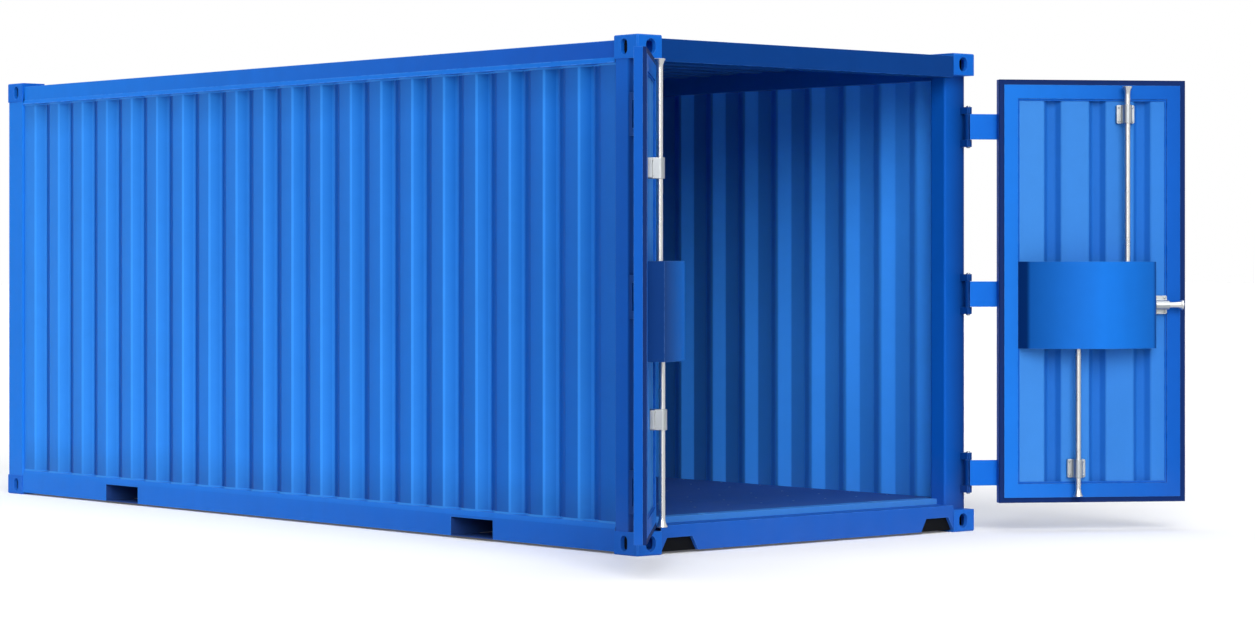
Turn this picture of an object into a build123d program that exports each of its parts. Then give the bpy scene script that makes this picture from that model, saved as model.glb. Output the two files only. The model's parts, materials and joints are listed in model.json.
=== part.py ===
"""Twenty-foot steel shipping container with two hinged doors and three-point bolt locks.

Frame: X runs along the container with the door end at +X, Y runs across it with the right door at
+Y, and Z points up from the ground. The origin lies on the ground in the middle of the four bottom
castings. Sizes are in millimetres. Both doors are modelled closed on the right side, mirrored for
the left side, and then swung open about their hinge pins.
"""
import os
from math import ceil, floor

from build123d import *

# Overall size over the corner castings
LENGTH = 6058.0
WIDTH = 2438.0
HEIGHT = 2591.0

# Corner castings
CASTING_LENGTH = 178.0
CASTING_WIDTH = 162.0
CASTING_HEIGHT = 118.0
CASTING_PLATE = 28.0
CASTING_FACE = 26.0
CASTING_WALL = 12.0
CASTING_EDGE_CHAMFER = 6.0
APERTURE_LENGTH = 124.5
APERTURE_WIDTH = 63.5
APERTURE_FROM_END = 102.5
APERTURE_FROM_SIDE = 89.5
WALL_APERTURE_HEIGHT = 79.5
SIDE_APERTURE_WIDTH = 51.0
END_APERTURE_WIDTH = 63.5

# Frame of posts, rails, header and sill
FACE_SETBACK = 4.0
GROUND_GAP = 12.0
POST_WALL = 6.0
POST_CORNER_RADIUS = 12.0
TOP_RAIL_DROP = 24.0
TOP_RAIL_HEIGHT = 112.0
TOP_RAIL_WIDTH = 60.0
RAIL_WALL = 5.0
RAIL_BAND_HEIGHT = 26.0
RAIL_BAND_STEP = 10.0
BOTTOM_RAIL_HEIGHT = 140.0
BOTTOM_RAIL_FLANGE = 48.0
UPPER_FLANGE = 75.0
HEADER_DROP = 16.0
HEADER_HEIGHT = 115.0
HEADER_WALL = 5.0
FRONT_RAIL_DEPTH = 75.0
SILL_HEIGHT = 133.0
SILL_FLANGE = 80.0
SILL_WALL = 6.0
THRESHOLD_DEPTH = 85.0
THRESHOLD_SKIRT = 60.0
NOTCH_WIDTH = 250.0
NOTCH_HEIGHT = 70.0
NOTCH_SLOPE = 40.0

# Walls, roof and floor
SHEET = 2.0
WALL_SETBACK = 8.0
WALL_PITCH = 278.0
WALL_DEPTH = 36.0
WALL_CREST = 112.0
WALL_SLOPE = 71.0
FRONT_WALL_PITCH = 250.0
FRONT_WALL_DEPTH = 44.0
FRONT_WALL_CREST = 104.0
FRONT_WALL_SLOPE = 18.0
WALL_END_FLAT = 60.0
ROOF_PITCH = 209.0
ROOF_TROUGH_WIDTH = 110.0
ROOF_TROUGH_DEPTH = 20.0
ROOF_TROUGH_FLARE = 0.9
ROOF_MARGIN = 70.0
ROOF_SETBACK = 10.0
FLOOR_THICKNESS = 28.0
FLOOR_JOINT = 3.0
FLOOR_COLUMNS = 5
FLOOR_ROWS = 2
CROSS_HEIGHT = 122.0
CROSS_FLANGE = 45.0
CROSS_WALL = 4.0
CROSS_PITCH = 330.0
CROSS_GAP = 12.0

# Fork pockets
POCKET_OFFSET = 1700.0
POCKET_WIDTH = 355.0
POCKET_HEIGHT = 95.0
POCKET_WALL = 5.0
POCKET_STRAP_LENGTH = 200.0
POCKET_STRAP_GAP = 2.0

# Running gaps
RUN_GAP = 5.0
DOOR_EDGE_GAP = 10.0
DOOR_MEETING_GAP = 12.0
PIN_GAP = 0.3
ROD_GAP = 0.4
KNUCKLE_GAP = 1.5

# Hinges
KNUCKLE_RADIUS = 18.0
PIN_RADIUS = 10.0
PIN_FROM_END = 25.0
PIN_FROM_SIDE = 24.0
STRAP_THICKNESS = 14.0
STRAP_HEIGHT = 138.0
STRAP_ON_LEAF = 130.0
STRAP_TIP_CHAMFER = 12.0
LUG_HEIGHT = 38.0
LUG_CHAMFER = 9.0
LUG_WEB = 12.0
HINGE_FROM_BOTTOM = 161.0
HINGE_FROM_TOP = 255.0
HINGE_MIDDLE_SHARE = 0.493

# Door leaves
LEAF_THICKNESS = 60.0
GASKET_WIDTH = 28.0
GASKET_THICKNESS = 18.0
RIM_WALL = 5.0
STILE_WIDTH = 75.0
STILE_WALL = 3.0
PANEL_RECESS = 12.0
PANEL_DEPTH = 38.0
PANEL_GROOVES = 3
PANEL_GROOVE_SHARE = 0.12
PANEL_FIRST_FLAT_SHARE = 0.177
PANEL_FLAT_SHARE = 0.18
PANEL_SLOPE_SHARE = 0.28
LEFT_OPEN_ANGLE = 134.0
RIGHT_OPEN_ANGLE = 147.0

# Bolts and their lock
ROD_RADIUS = 16.0
ROD_HEAD_RADIUS = 28.0
ROD_HEAD_LENGTH = 48.0
ROD_HEAD_RIM = 6.0
ROD_FROM_LEAF = 45.0
ROD_TIP_INSET = 35.0
ROD_IN_BOX = 120.0
KEEPER_GAP = 4.0
LOCK_COVER_SHEET = 3.0
LOCK_COVER_HEIGHT = 471.0
LOCK_COVER_BOTTOM = 837.0
LOCK_COVER_SIDE = 86.0
LOCK_COVER_CROWN = 168.0
LOCK_COVER_CROWN_SHARE = 0.55
LOCK_COVER_RAMP = 36.0
LOCK_COVER_RAMP_RISE = 62.0
LOCK_HOLE_GAP = 4.0
SIDE_BOLT_HEAD_INSET = 28.0
GUIDE_SIZE = 100.0
GUIDE_MARGIN = 3.0
GUIDE_PAD = 24.0
GUIDE_WALL = 9.0
GUIDE_CHAMFER = 5.0
RIGHT_GUIDE_INSET = 186.0
LEFT_GUIDE_INSET = 550.0

# Outside pull and lock spindle plate
PULL_BAR = 10.0
PULL_WIDTH = 24.0
PULL_LENGTH = 190.0
PULL_STANDOFF = 40.0
SPINDLE_PLATE_SIZE = 56.0
SPINDLE_PLATE_THICKNESS = 6.0
SPINDLE_SQUARE = 16.0
SPINDLE_LENGTH = 8.0

# Stations worked out from the sizes above
HALF_LENGTH = LENGTH / 2
HALF_WIDTH = WIDTH / 2
END_IN = HALF_LENGTH - CASTING_LENGTH
SIDE_IN = HALF_WIDTH - CASTING_WIDTH
END_FACE = HALF_LENGTH - FACE_SETBACK
SIDE_FACE = HALF_WIDTH - FACE_SETBACK
POST_BOTTOM = CASTING_HEIGHT
POST_TOP = HEIGHT - CASTING_HEIGHT
TOP_RAIL_TOP = HEIGHT - TOP_RAIL_DROP
TOP_RAIL_BOTTOM = TOP_RAIL_TOP - TOP_RAIL_HEIGHT
BOTTOM_RAIL_TOP = GROUND_GAP + BOTTOM_RAIL_HEIGHT
HEADER_TOP = HEIGHT - HEADER_DROP
HEADER_BOTTOM = HEADER_TOP - HEADER_HEIGHT
SILL_TOP = GROUND_GAP + SILL_HEIGHT
FLOOR_BOTTOM = BOTTOM_RAIL_TOP - RAIL_WALL
FLOOR_TOP = FLOOR_BOTTOM + FLOOR_THICKNESS
PIN_X = HALF_LENGTH - PIN_FROM_END
PIN_Y = HALF_WIDTH - PIN_FROM_SIDE
STRAP_OFFSET = SIDE_FACE - PIN_Y + RUN_GAP
LEAF_OUT = PIN_X - STRAP_OFFSET - STRAP_THICKNESS
LEAF_IN = LEAF_OUT - LEAF_THICKNESS
DOOR_POST_FACE = LEAF_OUT - RUN_GAP
HEADER_BACK = LEAF_IN - 2 * RUN_GAP
SILL_BACK = LEAF_IN - RUN_GAP
THRESHOLD_BACK = SILL_BACK - THRESHOLD_DEPTH
LEAF_HINGE_EDGE = SIDE_IN - DOOR_EDGE_GAP
LEAF_FREE_EDGE = DOOR_MEETING_GAP / 2
LEAF_BOTTOM = SILL_TOP + DOOR_EDGE_GAP
LEAF_TOP = HEADER_BOTTOM - DOOR_EDGE_GAP
FRAME_HINGE_EDGE = LEAF_HINGE_EDGE - GASKET_WIDTH
FRAME_FREE_EDGE = LEAF_FREE_EDGE + GASKET_WIDTH
FRAME_BOTTOM = LEAF_BOTTOM + GASKET_WIDTH
FRAME_TOP = LEAF_TOP - GASKET_WIDTH
PANEL_HINGE_EDGE = FRAME_HINGE_EDGE - STILE_WIDTH
PANEL_FREE_EDGE = FRAME_FREE_EDGE + STILE_WIDTH
PANEL_BOTTOM = FRAME_BOTTOM + STILE_WIDTH
PANEL_TOP = FRAME_TOP - STILE_WIDTH
PANEL_IN = LEAF_IN + PANEL_RECESS
PANEL_OUT = PANEL_IN + PANEL_DEPTH
PANEL_WIDTH = PANEL_HINGE_EDGE - PANEL_FREE_EDGE
PANEL_GROOVE_WIDTH = PANEL_GROOVE_SHARE * PANEL_WIDTH
PANEL_GROOVE_SLOPE = PANEL_SLOPE_SHARE * PANEL_GROOVE_WIDTH
PANEL_FIRST_FLAT = PANEL_FIRST_FLAT_SHARE * PANEL_WIDTH
PANEL_FLAT = PANEL_FLAT_SHARE * PANEL_WIDTH
PANEL_STEP = PANEL_GROOVE_WIDTH + PANEL_FLAT
LAST_FLAT_EDGE = PANEL_HINGE_EDGE - PANEL_FIRST_FLAT - PANEL_GROOVES * PANEL_STEP + PANEL_FLAT
ROD_X = LEAF_IN - ROD_FROM_LEAF
COVER_FREE_EDGE = LAST_FLAT_EDGE - LOCK_COVER_SHEET
COVER_BOTTOM = LEAF_BOTTOM + LOCK_COVER_BOTTOM
COVER_TOP = COVER_BOTTOM + LOCK_COVER_HEIGHT
BOTTOM_ROD_Y = PANEL_HINGE_EDGE - PANEL_FIRST_FLAT - PANEL_GROOVE_WIDTH - PANEL_FLAT / 2
TOP_ROD_Y = BOTTOM_ROD_Y - PANEL_STEP - PANEL_FLAT / 2 + GUIDE_SIZE / 2
SIDE_BOLT_Z = (COVER_BOTTOM + COVER_TOP) / 2
SPINDLE_Y = BOTTOM_ROD_Y - PANEL_STEP / 2
HINGE_LEVELS = (
    LEAF_BOTTOM + HINGE_FROM_BOTTOM,
    LEAF_BOTTOM + HINGE_MIDDLE_SHARE * (LEAF_TOP - LEAF_BOTTOM),
    LEAF_TOP - HINGE_FROM_TOP,
)


def block(x_range, y_range, z_range):
    """Box between two stations on each axis."""
    low = Vector(x_range[0], y_range[0], z_range[0])
    high = Vector(x_range[1], y_range[1], z_range[1])
    size = high - low
    return Pos(*((low + high) / 2)) * Box(size.X, size.Y, size.Z)


def bar_along_x(section, x_range):
    """Extrude a section drawn in Y and Z along X."""
    return Pos(X=x_range[0]) * extrude(Plane.YZ * section, amount=x_range[1] - x_range[0])


def bar_along_y(section, y_range):
    """Extrude a section drawn in X and Z along Y."""
    return Pos(Y=y_range[0]) * extrude(Plane.XZ * section, amount=y_range[0] - y_range[1])


def bar_along_z(section, z_range):
    """Extrude a section drawn in X and Y upwards."""
    return Pos(Z=z_range[0]) * extrude(section, amount=z_range[1] - z_range[0])


def outline(*points):
    """Face inside a closed run of straight lines."""
    return make_face(Polyline(*points, close=True))


def folded(points, thickness):
    """Section of folded plate whose material lies to the left of the run of points."""
    run = Polyline(*points)
    return make_face(offset(run, thickness, side=Side.LEFT, closed=True, kind=Kind.INTERSECTION))


def hollow(section, wall):
    """Tube section with an even wall inside the given outline."""
    return section - offset(section, -wall, kind=Kind.INTERSECTION)


def other_side(shape):
    """Mirror a right-hand piece to the left side."""
    return mirror(shape, about=Plane.XZ)


def corner_casting():
    """Hollow top casting of the right door corner, slotted on its top, side and end faces."""
    body = block((END_IN, HALF_LENGTH), (SIDE_IN, HALF_WIDTH), (POST_TOP, HEIGHT))
    outer_corner = Vector(HALF_LENGTH, HALF_WIDTH, HEIGHT)
    corner_edges = [edge for edge in body.edges() if edge.distance_to(outer_corner) < CASTING_WALL]
    body = chamfer(corner_edges, CASTING_EDGE_CHAMFER)
    body -= block(
        (END_IN + CASTING_WALL, HALF_LENGTH - CASTING_FACE),
        (SIDE_IN + CASTING_WALL, HALF_WIDTH - CASTING_FACE),
        (POST_TOP + CASTING_WALL, HEIGHT - CASTING_PLATE),
    )
    aperture_x = HALF_LENGTH - APERTURE_FROM_END
    aperture_y = HALF_WIDTH - APERTURE_FROM_SIDE
    middle_z = HEIGHT - CASTING_HEIGHT / 2
    top_slot = Pos(aperture_x, aperture_y) * SlotOverall(APERTURE_LENGTH, APERTURE_WIDTH)
    body -= bar_along_z(top_slot, (HEIGHT - CASTING_PLATE, HEIGHT))
    side_slot = SlotOverall(WALL_APERTURE_HEIGHT, SIDE_APERTURE_WIDTH, rotation=90)
    body -= bar_along_y(Pos(aperture_x, middle_z) * side_slot, (HALF_WIDTH - CASTING_FACE, HALF_WIDTH))
    end_slot = SlotOverall(WALL_APERTURE_HEIGHT, END_APERTURE_WIDTH, rotation=90)
    body -= bar_along_x(Pos(aperture_y, middle_z) * end_slot, (HALF_LENGTH - CASTING_FACE, HALF_LENGTH))
    return body


def four_corners(shape):
    """The piece and its mirror images at the other three corners."""
    pair = [shape, mirror(shape, about=Plane.YZ)]
    return Compound(children=pair + [other_side(piece) for piece in pair])


def top_castings():
    """Four castings that carry the roof corners."""
    return four_corners(corner_casting())


def bottom_castings():
    """Four castings the container stands on."""
    upside_down = mirror(corner_casting(), about=Plane.XY.offset(HEIGHT / 2))
    return four_corners(upside_down)


def corner_post(x_range):
    """Right-hand tube post between a bottom and a top casting."""
    depth = x_range[1] - x_range[0]
    breadth = SIDE_FACE - SIDE_IN
    tube = RectangleRounded(depth, breadth, POST_CORNER_RADIUS)
    tube -= Rectangle(depth - 2 * POST_WALL, breadth - 2 * POST_WALL)
    centre = Pos(sum(x_range) / 2, SIDE_IN + breadth / 2)
    return bar_along_z(centre * tube, (POST_BOTTOM, POST_TOP))


def top_rail():
    """Right-hand top side rail: tube with a lower lip that steps out over a sloped band."""
    inner = SIDE_FACE - TOP_RAIL_WIDTH
    lip_top = TOP_RAIL_BOTTOM + RAIL_BAND_STEP / 2
    section = outline(
        (inner, TOP_RAIL_BOTTOM),
        (SIDE_FACE, TOP_RAIL_BOTTOM),
        (SIDE_FACE, lip_top),
        (SIDE_FACE - RAIL_BAND_STEP, TOP_RAIL_BOTTOM + RAIL_BAND_HEIGHT),
        (SIDE_FACE - RAIL_BAND_STEP, TOP_RAIL_TOP),
        (inner, TOP_RAIL_TOP),
    )
    return bar_along_x(hollow(section, RAIL_WALL), (-END_IN, END_IN))


def bottom_rail():
    """Right-hand bottom side rail: folded channel with a sloped upper band, cut for the forks."""
    section = folded(
        [
            (SIDE_FACE - BOTTOM_RAIL_FLANGE, GROUND_GAP),
            (SIDE_FACE, GROUND_GAP),
            (SIDE_FACE, BOTTOM_RAIL_TOP - RAIL_BAND_HEIGHT),
            (SIDE_FACE - RAIL_BAND_STEP, BOTTOM_RAIL_TOP),
            (SIDE_FACE - UPPER_FLANGE, BOTTOM_RAIL_TOP),
        ],
        RAIL_WALL,
    )
    rail = bar_along_x(section, (-END_IN, END_IN))
    for centre in (-POCKET_OFFSET, POCKET_OFFSET):
        rail -= block(
            (centre - POCKET_WIDTH / 2, centre + POCKET_WIDTH / 2),
            (SIDE_FACE - UPPER_FLANGE, HALF_WIDTH),
            (0, GROUND_GAP + POCKET_WALL + POCKET_HEIGHT),
        )
    return rail


def door_header():
    """Tube over the doorway between the two top castings."""
    section = outline(
        (HEADER_BACK, HEADER_BOTTOM),
        (END_FACE, HEADER_BOTTOM),
        (END_FACE, HEADER_TOP),
        (HEADER_BACK, HEADER_TOP),
    )
    return bar_along_y(hollow(section, HEADER_WALL), (-SIDE_IN, SIDE_IN))


def notch_outline(grow):
    """Trapezoid twist-lock notch beside the right bottom casting, grown for its lining."""
    top = GROUND_GAP + NOTCH_HEIGHT + grow
    return outline(
        (SIDE_IN + grow, 0),
        (SIDE_IN + grow, GROUND_GAP),
        (SIDE_IN - NOTCH_SLOPE + grow, top),
        (SIDE_IN - NOTCH_WIDTH + NOTCH_SLOPE - grow, top),
        (SIDE_IN - NOTCH_WIDTH - grow, GROUND_GAP),
        (SIDE_IN - NOTCH_WIDTH - grow, 0),
    )


def door_sill():
    """Folded sill under the doors with a lined notch at each end."""
    section = folded(
        [
            (END_FACE - SILL_FLANGE, GROUND_GAP),
            (END_FACE, GROUND_GAP),
            (END_FACE, SILL_TOP),
            (SILL_BACK, SILL_TOP),
        ],
        SILL_WALL,
    )
    sill = bar_along_y(section, (-SIDE_IN, SIDE_IN))
    depth = (SILL_BACK + SILL_WALL, END_FACE)
    lining = bar_along_x(notch_outline(SILL_WALL), depth)
    lining &= block(depth, (-SIDE_IN, SIDE_IN), (GROUND_GAP, SILL_TOP))
    opening = bar_along_x(notch_outline(0), (SILL_BACK, HALF_LENGTH))
    sill += [lining, other_side(lining)]
    return sill - [opening, other_side(opening)]


def threshold():
    """Angle behind the sill that steps up to the floor, with a hole for each bottom bolt."""
    section = folded(
        [
            (SILL_BACK, FLOOR_TOP - THRESHOLD_SKIRT),
            (SILL_BACK, FLOOR_TOP),
            (THRESHOLD_BACK, FLOOR_TOP),
        ],
        SILL_WALL,
    )
    angle = bar_along_y(section, (-SIDE_IN, SIDE_IN))
    keeper = Circle(ROD_HEAD_RADIUS + KEEPER_GAP)
    for side in (-1, 1):
        angle -= bar_along_z(Pos(ROD_X, side * BOTTOM_ROD_Y) * keeper, (0, HEIGHT / 2))
    return angle


def front_header():
    """Tube along the top of the closed end."""
    section = outline(
        (-END_FACE, HEADER_BOTTOM),
        (FRONT_RAIL_DEPTH - END_FACE, HEADER_BOTTOM),
        (FRONT_RAIL_DEPTH - END_FACE, HEADER_TOP),
        (-END_FACE, HEADER_TOP),
    )
    return bar_along_y(hollow(section, HEADER_WALL), (-SIDE_IN, SIDE_IN))


def front_sill():
    """Folded channel along the foot of the closed end."""
    section = folded(
        [
            (FRONT_RAIL_DEPTH - END_FACE, BOTTOM_RAIL_TOP),
            (-END_FACE, BOTTOM_RAIL_TOP),
            (-END_FACE, GROUND_GAP),
            (FRONT_RAIL_DEPTH - END_FACE, GROUND_GAP),
        ],
        SILL_WALL,
    )
    return bar_along_y(section, (-SIDE_IN, SIDE_IN))


def corrugated_run(half_span, pitch, crest, slope, depth):
    """Points of a corrugated run from one end to the other, as (station, recess) pairs."""
    count = floor(2 * (half_span - WALL_END_FLAT) / pitch)
    valley = pitch - crest - 2 * slope
    station = -count * pitch / 2 + crest / 2
    points = [(-half_span, 0.0)]
    for _ in range(count):
        points.append((station, 0.0))
        points.append((station + slope, depth))
        points.append((station + slope + valley, depth))
        points.append((station + 2 * slope + valley, 0.0))
        station += pitch
    points.append((half_span, 0.0))
    return points


def sheet_outline(points, shift):
    """Closed outline of a sheet from its run of points and the shift to its other face."""
    back = [(x + shift[0], y + shift[1]) for x, y in reversed(points)]
    return outline(*points, *back)


def side_wall():
    """Right side wall of corrugated sheet between the side rails and the posts."""
    run = corrugated_run(END_IN, WALL_PITCH, WALL_CREST, WALL_SLOPE, WALL_DEPTH - SHEET)
    face = SIDE_FACE - RAIL_BAND_STEP - WALL_SETBACK / 2
    section = sheet_outline([(x, face - recess) for x, recess in run], (0, -SHEET))
    return bar_along_z(section, (BOTTOM_RAIL_TOP, TOP_RAIL_BOTTOM))


def front_wall():
    """Corrugated sheet of the closed end."""
    run = corrugated_run(
        SIDE_IN, FRONT_WALL_PITCH, FRONT_WALL_CREST, FRONT_WALL_SLOPE, FRONT_WALL_DEPTH - SHEET
    )
    face = END_FACE - WALL_SETBACK
    section = sheet_outline([(recess - face, y) for y, recess in run], (SHEET, 0))
    return bar_along_z(section, (BOTTOM_RAIL_TOP, HEADER_BOTTOM))


def trough(width, length):
    """Pressed roof trough with its mouth at the origin, tapering evenly to its floor."""
    shrink = ROOF_TROUGH_DEPTH * ROOF_TROUGH_FLARE

    def tapered(half):
        return outline(
            (-half, 0), (half, 0), (half - shrink, -ROOF_TROUGH_DEPTH), (shrink - half, -ROOF_TROUGH_DEPTH)
        )

    across = bar_along_y(tapered(width / 2), (-length / 2, length / 2))
    return across & bar_along_x(tapered(length / 2), (-width / 2, width / 2))


def roof():
    """Roof sheet on the top rails with cross troughs pressed downwards."""
    front = FRONT_RAIL_DEPTH - END_FACE
    edge = SIDE_FACE - RAIL_BAND_STEP - ROOF_SETBACK
    sheet = block((front, HEADER_BACK), (-edge, edge), (TOP_RAIL_TOP, TOP_RAIL_TOP + SHEET))
    sheet -= block((END_IN, HEADER_BACK), (SIDE_IN, edge), (TOP_RAIL_TOP, HEIGHT))
    sheet -= block((END_IN, HEADER_BACK), (-edge, -SIDE_IN), (TOP_RAIL_TOP, HEIGHT))
    sheet -= block((front, -END_IN), (SIDE_IN, edge), (TOP_RAIL_TOP, HEIGHT))
    sheet -= block((front, -END_IN), (-edge, -SIDE_IN), (TOP_RAIL_TOP, HEIGHT))
    count = floor(2 * END_IN / ROOF_PITCH)
    length = 2 * (SIDE_FACE - TOP_RAIL_WIDTH - ROOF_MARGIN)
    level = Pos(Z=TOP_RAIL_TOP)
    outside = trough(ROOF_TROUGH_WIDTH, length)
    inside = Pos(Z=SHEET) * trough(ROOF_TROUGH_WIDTH - 2 * SHEET, length - 2 * SHEET)
    pattern = GridLocations(ROOF_PITCH, 0, count, 1)
    sheet += [level * place * outside for place in pattern]
    return sheet - [level * place * inside for place in pattern]


def floor_panels():
    """Floor boards laid on the cross members."""
    start = FRONT_RAIL_DEPTH - END_FACE + FLOOR_JOINT
    half_breadth = SIDE_FACE - UPPER_FLANGE - FLOOR_JOINT
    length = (THRESHOLD_BACK - FLOOR_JOINT - start) / FLOOR_COLUMNS
    breadth = 2 * half_breadth / FLOOR_ROWS
    middle = Pos(start + length * FLOOR_COLUMNS / 2, 0, (FLOOR_TOP + FLOOR_BOTTOM) / 2)
    boards = GridLocations(length, breadth, FLOOR_COLUMNS, FLOOR_ROWS)
    board = Box(length - FLOOR_JOINT, breadth - FLOOR_JOINT, FLOOR_THICKNESS)
    post_room = block(
        (-END_FACE, FLOOR_JOINT - END_IN), (SIDE_IN - FLOOR_JOINT, SIDE_FACE), (0, FLOOR_TOP)
    )
    posts = [post_room, other_side(post_room)]
    return Compound(children=[middle * place * board - posts for place in boards])


def cross_members():
    """Folded channels between the bottom rails that carry the floor, clear of pockets and bolts."""
    foot = FLOOR_BOTTOM - CROSS_HEIGHT
    section = folded(
        [(CROSS_FLANGE, FLOOR_BOTTOM), (0, FLOOR_BOTTOM), (0, foot), (CROSS_FLANGE, foot)],
        CROSS_WALL,
    )
    half_length = SIDE_FACE - RAIL_BAND_STEP - RAIL_WALL
    member = bar_along_y(section, (-half_length, half_length))
    beside = POCKET_WIDTH / 2 + POCKET_WALL + CROSS_GAP
    last = ROD_X - ROD_HEAD_RADIUS - CROSS_GAP - CROSS_FLANGE
    bays = (
        (CROSS_GAP - END_IN, -POCKET_OFFSET - beside - CROSS_FLANGE),
        (-POCKET_OFFSET + beside, POCKET_OFFSET - beside - CROSS_FLANGE),
        (POCKET_OFFSET + beside, last),
    )
    members = []
    for start, end in bays:
        steps = ceil((end - start) / CROSS_PITCH)
        for step in range(steps + 1):
            members.append(Pos(X=start + (end - start) * step / steps) * member)
    return Compound(children=members)


def fork_pockets():
    """Two tunnels through the base, closed below by a strap at each mouth."""
    inner = POCKET_WIDTH / 2
    base = GROUND_GAP + POCKET_WALL
    section = folded(
        [
            (-inner, base),
            (-inner, base + POCKET_HEIGHT),
            (inner, base + POCKET_HEIGHT),
            (inner, base),
        ],
        POCKET_WALL,
    )
    mouth = SIDE_FACE - RAIL_WALL
    tunnel = bar_along_y(section, (-mouth, mouth))
    mouth_half = inner - POCKET_STRAP_GAP
    strap = block(
        (-mouth_half, mouth_half), (SIDE_FACE - POCKET_STRAP_LENGTH, SIDE_FACE), (GROUND_GAP, base)
    )
    sole = block(
        (-inner - POCKET_WALL, inner + POCKET_WALL),
        (SIDE_FACE - POCKET_STRAP_LENGTH, SIDE_FACE - BOTTOM_RAIL_FLANGE),
        (GROUND_GAP, base),
    )
    tunnel += [strap, sole, other_side(strap), other_side(sole)]
    return Compound(children=[Pos(X=-POCKET_OFFSET) * tunnel, Pos(X=POCKET_OFFSET) * tunnel])


def hinge_lugs():
    """Right-hand lugs: two ears per hinge on the post, joined by the hinge pin and a web beside it."""
    ear_reach = PIN_X + KNUCKLE_RADIUS - DOOR_POST_FACE
    ear = Pos(DOOR_POST_FACE + ear_reach / 2, PIN_Y) * Rectangle(ear_reach, 2 * KNUCKLE_RADIUS)
    ear = chamfer(ear.vertices().group_by(Axis.X)[-1], LUG_CHAMFER)
    pin = Pos(PIN_X, PIN_Y) * Circle(PIN_RADIUS)
    web_edge = PIN_X - KNUCKLE_RADIUS - RUN_GAP
    web_side = PIN_Y + KNUCKLE_RADIUS
    inside = STRAP_HEIGHT / 2 + KNUCKLE_GAP
    lugs = []
    for level in HINGE_LEVELS:
        lug = bar_along_z(pin, (level - inside, level + inside))
        lug += block(
            (DOOR_POST_FACE, web_edge),
            (web_side - LUG_WEB, web_side),
            (level - inside, level + inside),
        )
        lug += bar_along_z(ear, (level + inside, level + inside + LUG_HEIGHT))
        lug += bar_along_z(ear, (level - inside - LUG_HEIGHT, level - inside))
        lugs.append(lug)
    return Compound(children=lugs)


def hinge_straps():
    """Three right-hand straps, each a knuckle with a blade welded on the leaf's outer face."""
    strap_face = PIN_X - STRAP_OFFSET
    tip = FRAME_HINGE_EDGE - STRAP_ON_LEAF
    blade = outline((LEAF_OUT, tip), (strap_face, tip), (strap_face, PIN_Y), (LEAF_OUT, PIN_Y))
    neck_low = PIN_Y - KNUCKLE_RADIUS
    neck = outline((LEAF_OUT, neck_low), (PIN_X, neck_low), (PIN_X, PIN_Y), (LEAF_OUT, PIN_Y))
    knuckle = Pos(PIN_X, PIN_Y) * Circle(KNUCKLE_RADIUS)
    section = blade + neck + knuckle - Pos(PIN_X, PIN_Y) * Circle(PIN_RADIUS + PIN_GAP)
    strap = bar_along_z(section, (-STRAP_HEIGHT / 2, STRAP_HEIGHT / 2))
    tip_edges = strap.edges().filter_by(Axis.X).group_by(Axis.Y)[0]
    strap = chamfer(tip_edges, STRAP_TIP_CHAMFER)
    return Compound(children=[Pos(Z=level) * strap for level in HINGE_LEVELS])


def leaf_ring(y_range, z_range, inset):
    """Flat frame between an outer rectangle and the same rectangle inset on all sides."""
    outer = outline(
        (y_range[0], z_range[0]),
        (y_range[1], z_range[0]),
        (y_range[1], z_range[1]),
        (y_range[0], z_range[1]),
    )
    return outer - offset(outer, -inset, kind=Kind.INTERSECTION)


def door_frame():
    """Welded tube frame of the right leaf with a folded rim that backs the gasket."""
    ring = leaf_ring((FRAME_FREE_EDGE, FRAME_HINGE_EDGE), (FRAME_BOTTOM, FRAME_TOP), STILE_WIDTH)
    frame = bar_along_x(ring, (LEAF_IN, LEAF_OUT))
    leaf = ((LEAF_FREE_EDGE, LEAF_HINGE_EDGE), (LEAF_BOTTOM, LEAF_TOP))
    frame += bar_along_x(leaf_ring(*leaf, GASKET_WIDTH), (LEAF_OUT - RIM_WALL, LEAF_OUT))
    frame += bar_along_x(leaf_ring(*leaf, RIM_WALL), (LEAF_IN + GASKET_THICKNESS, LEAF_OUT))
    bore = leaf_ring(
        (FRAME_FREE_EDGE + STILE_WALL, FRAME_HINGE_EDGE - STILE_WALL),
        (FRAME_BOTTOM + STILE_WALL, FRAME_TOP - STILE_WALL),
        STILE_WIDTH - 2 * STILE_WALL,
    )
    bore_depth = (LEAF_IN + STILE_WALL, LEAF_OUT - STILE_WALL)
    frame -= bar_along_x(bore, bore_depth)
    bore_width = STILE_WIDTH - 2 * STILE_WALL
    for bore_start in (FRAME_FREE_EDGE + STILE_WALL, FRAME_HINGE_EDGE - STILE_WIDTH + STILE_WALL):
        frame -= block(bore_depth, (bore_start, bore_start + bore_width), (FRAME_BOTTOM, FRAME_TOP))
    return frame


def door_panel():
    """Corrugated sheet inside the right leaf's frame, with upright grooves seen from within."""
    bottom_slope = PANEL_DEPTH - SHEET
    station = PANEL_HINGE_EDGE
    points = [(PANEL_IN, station)]
    station -= PANEL_FIRST_FLAT
    for _ in range(PANEL_GROOVES):
        points.append((PANEL_IN, station))
        points.append((PANEL_IN + bottom_slope, station - PANEL_GROOVE_SLOPE))
        points.append((PANEL_IN + bottom_slope, station - PANEL_GROOVE_WIDTH + PANEL_GROOVE_SLOPE))
        points.append((PANEL_IN, station - PANEL_GROOVE_WIDTH))
        station -= PANEL_STEP
    points.append((PANEL_IN, PANEL_FREE_EDGE))
    return bar_along_z(sheet_outline(points, (SHEET, 0)), (PANEL_BOTTOM, PANEL_TOP))


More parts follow.
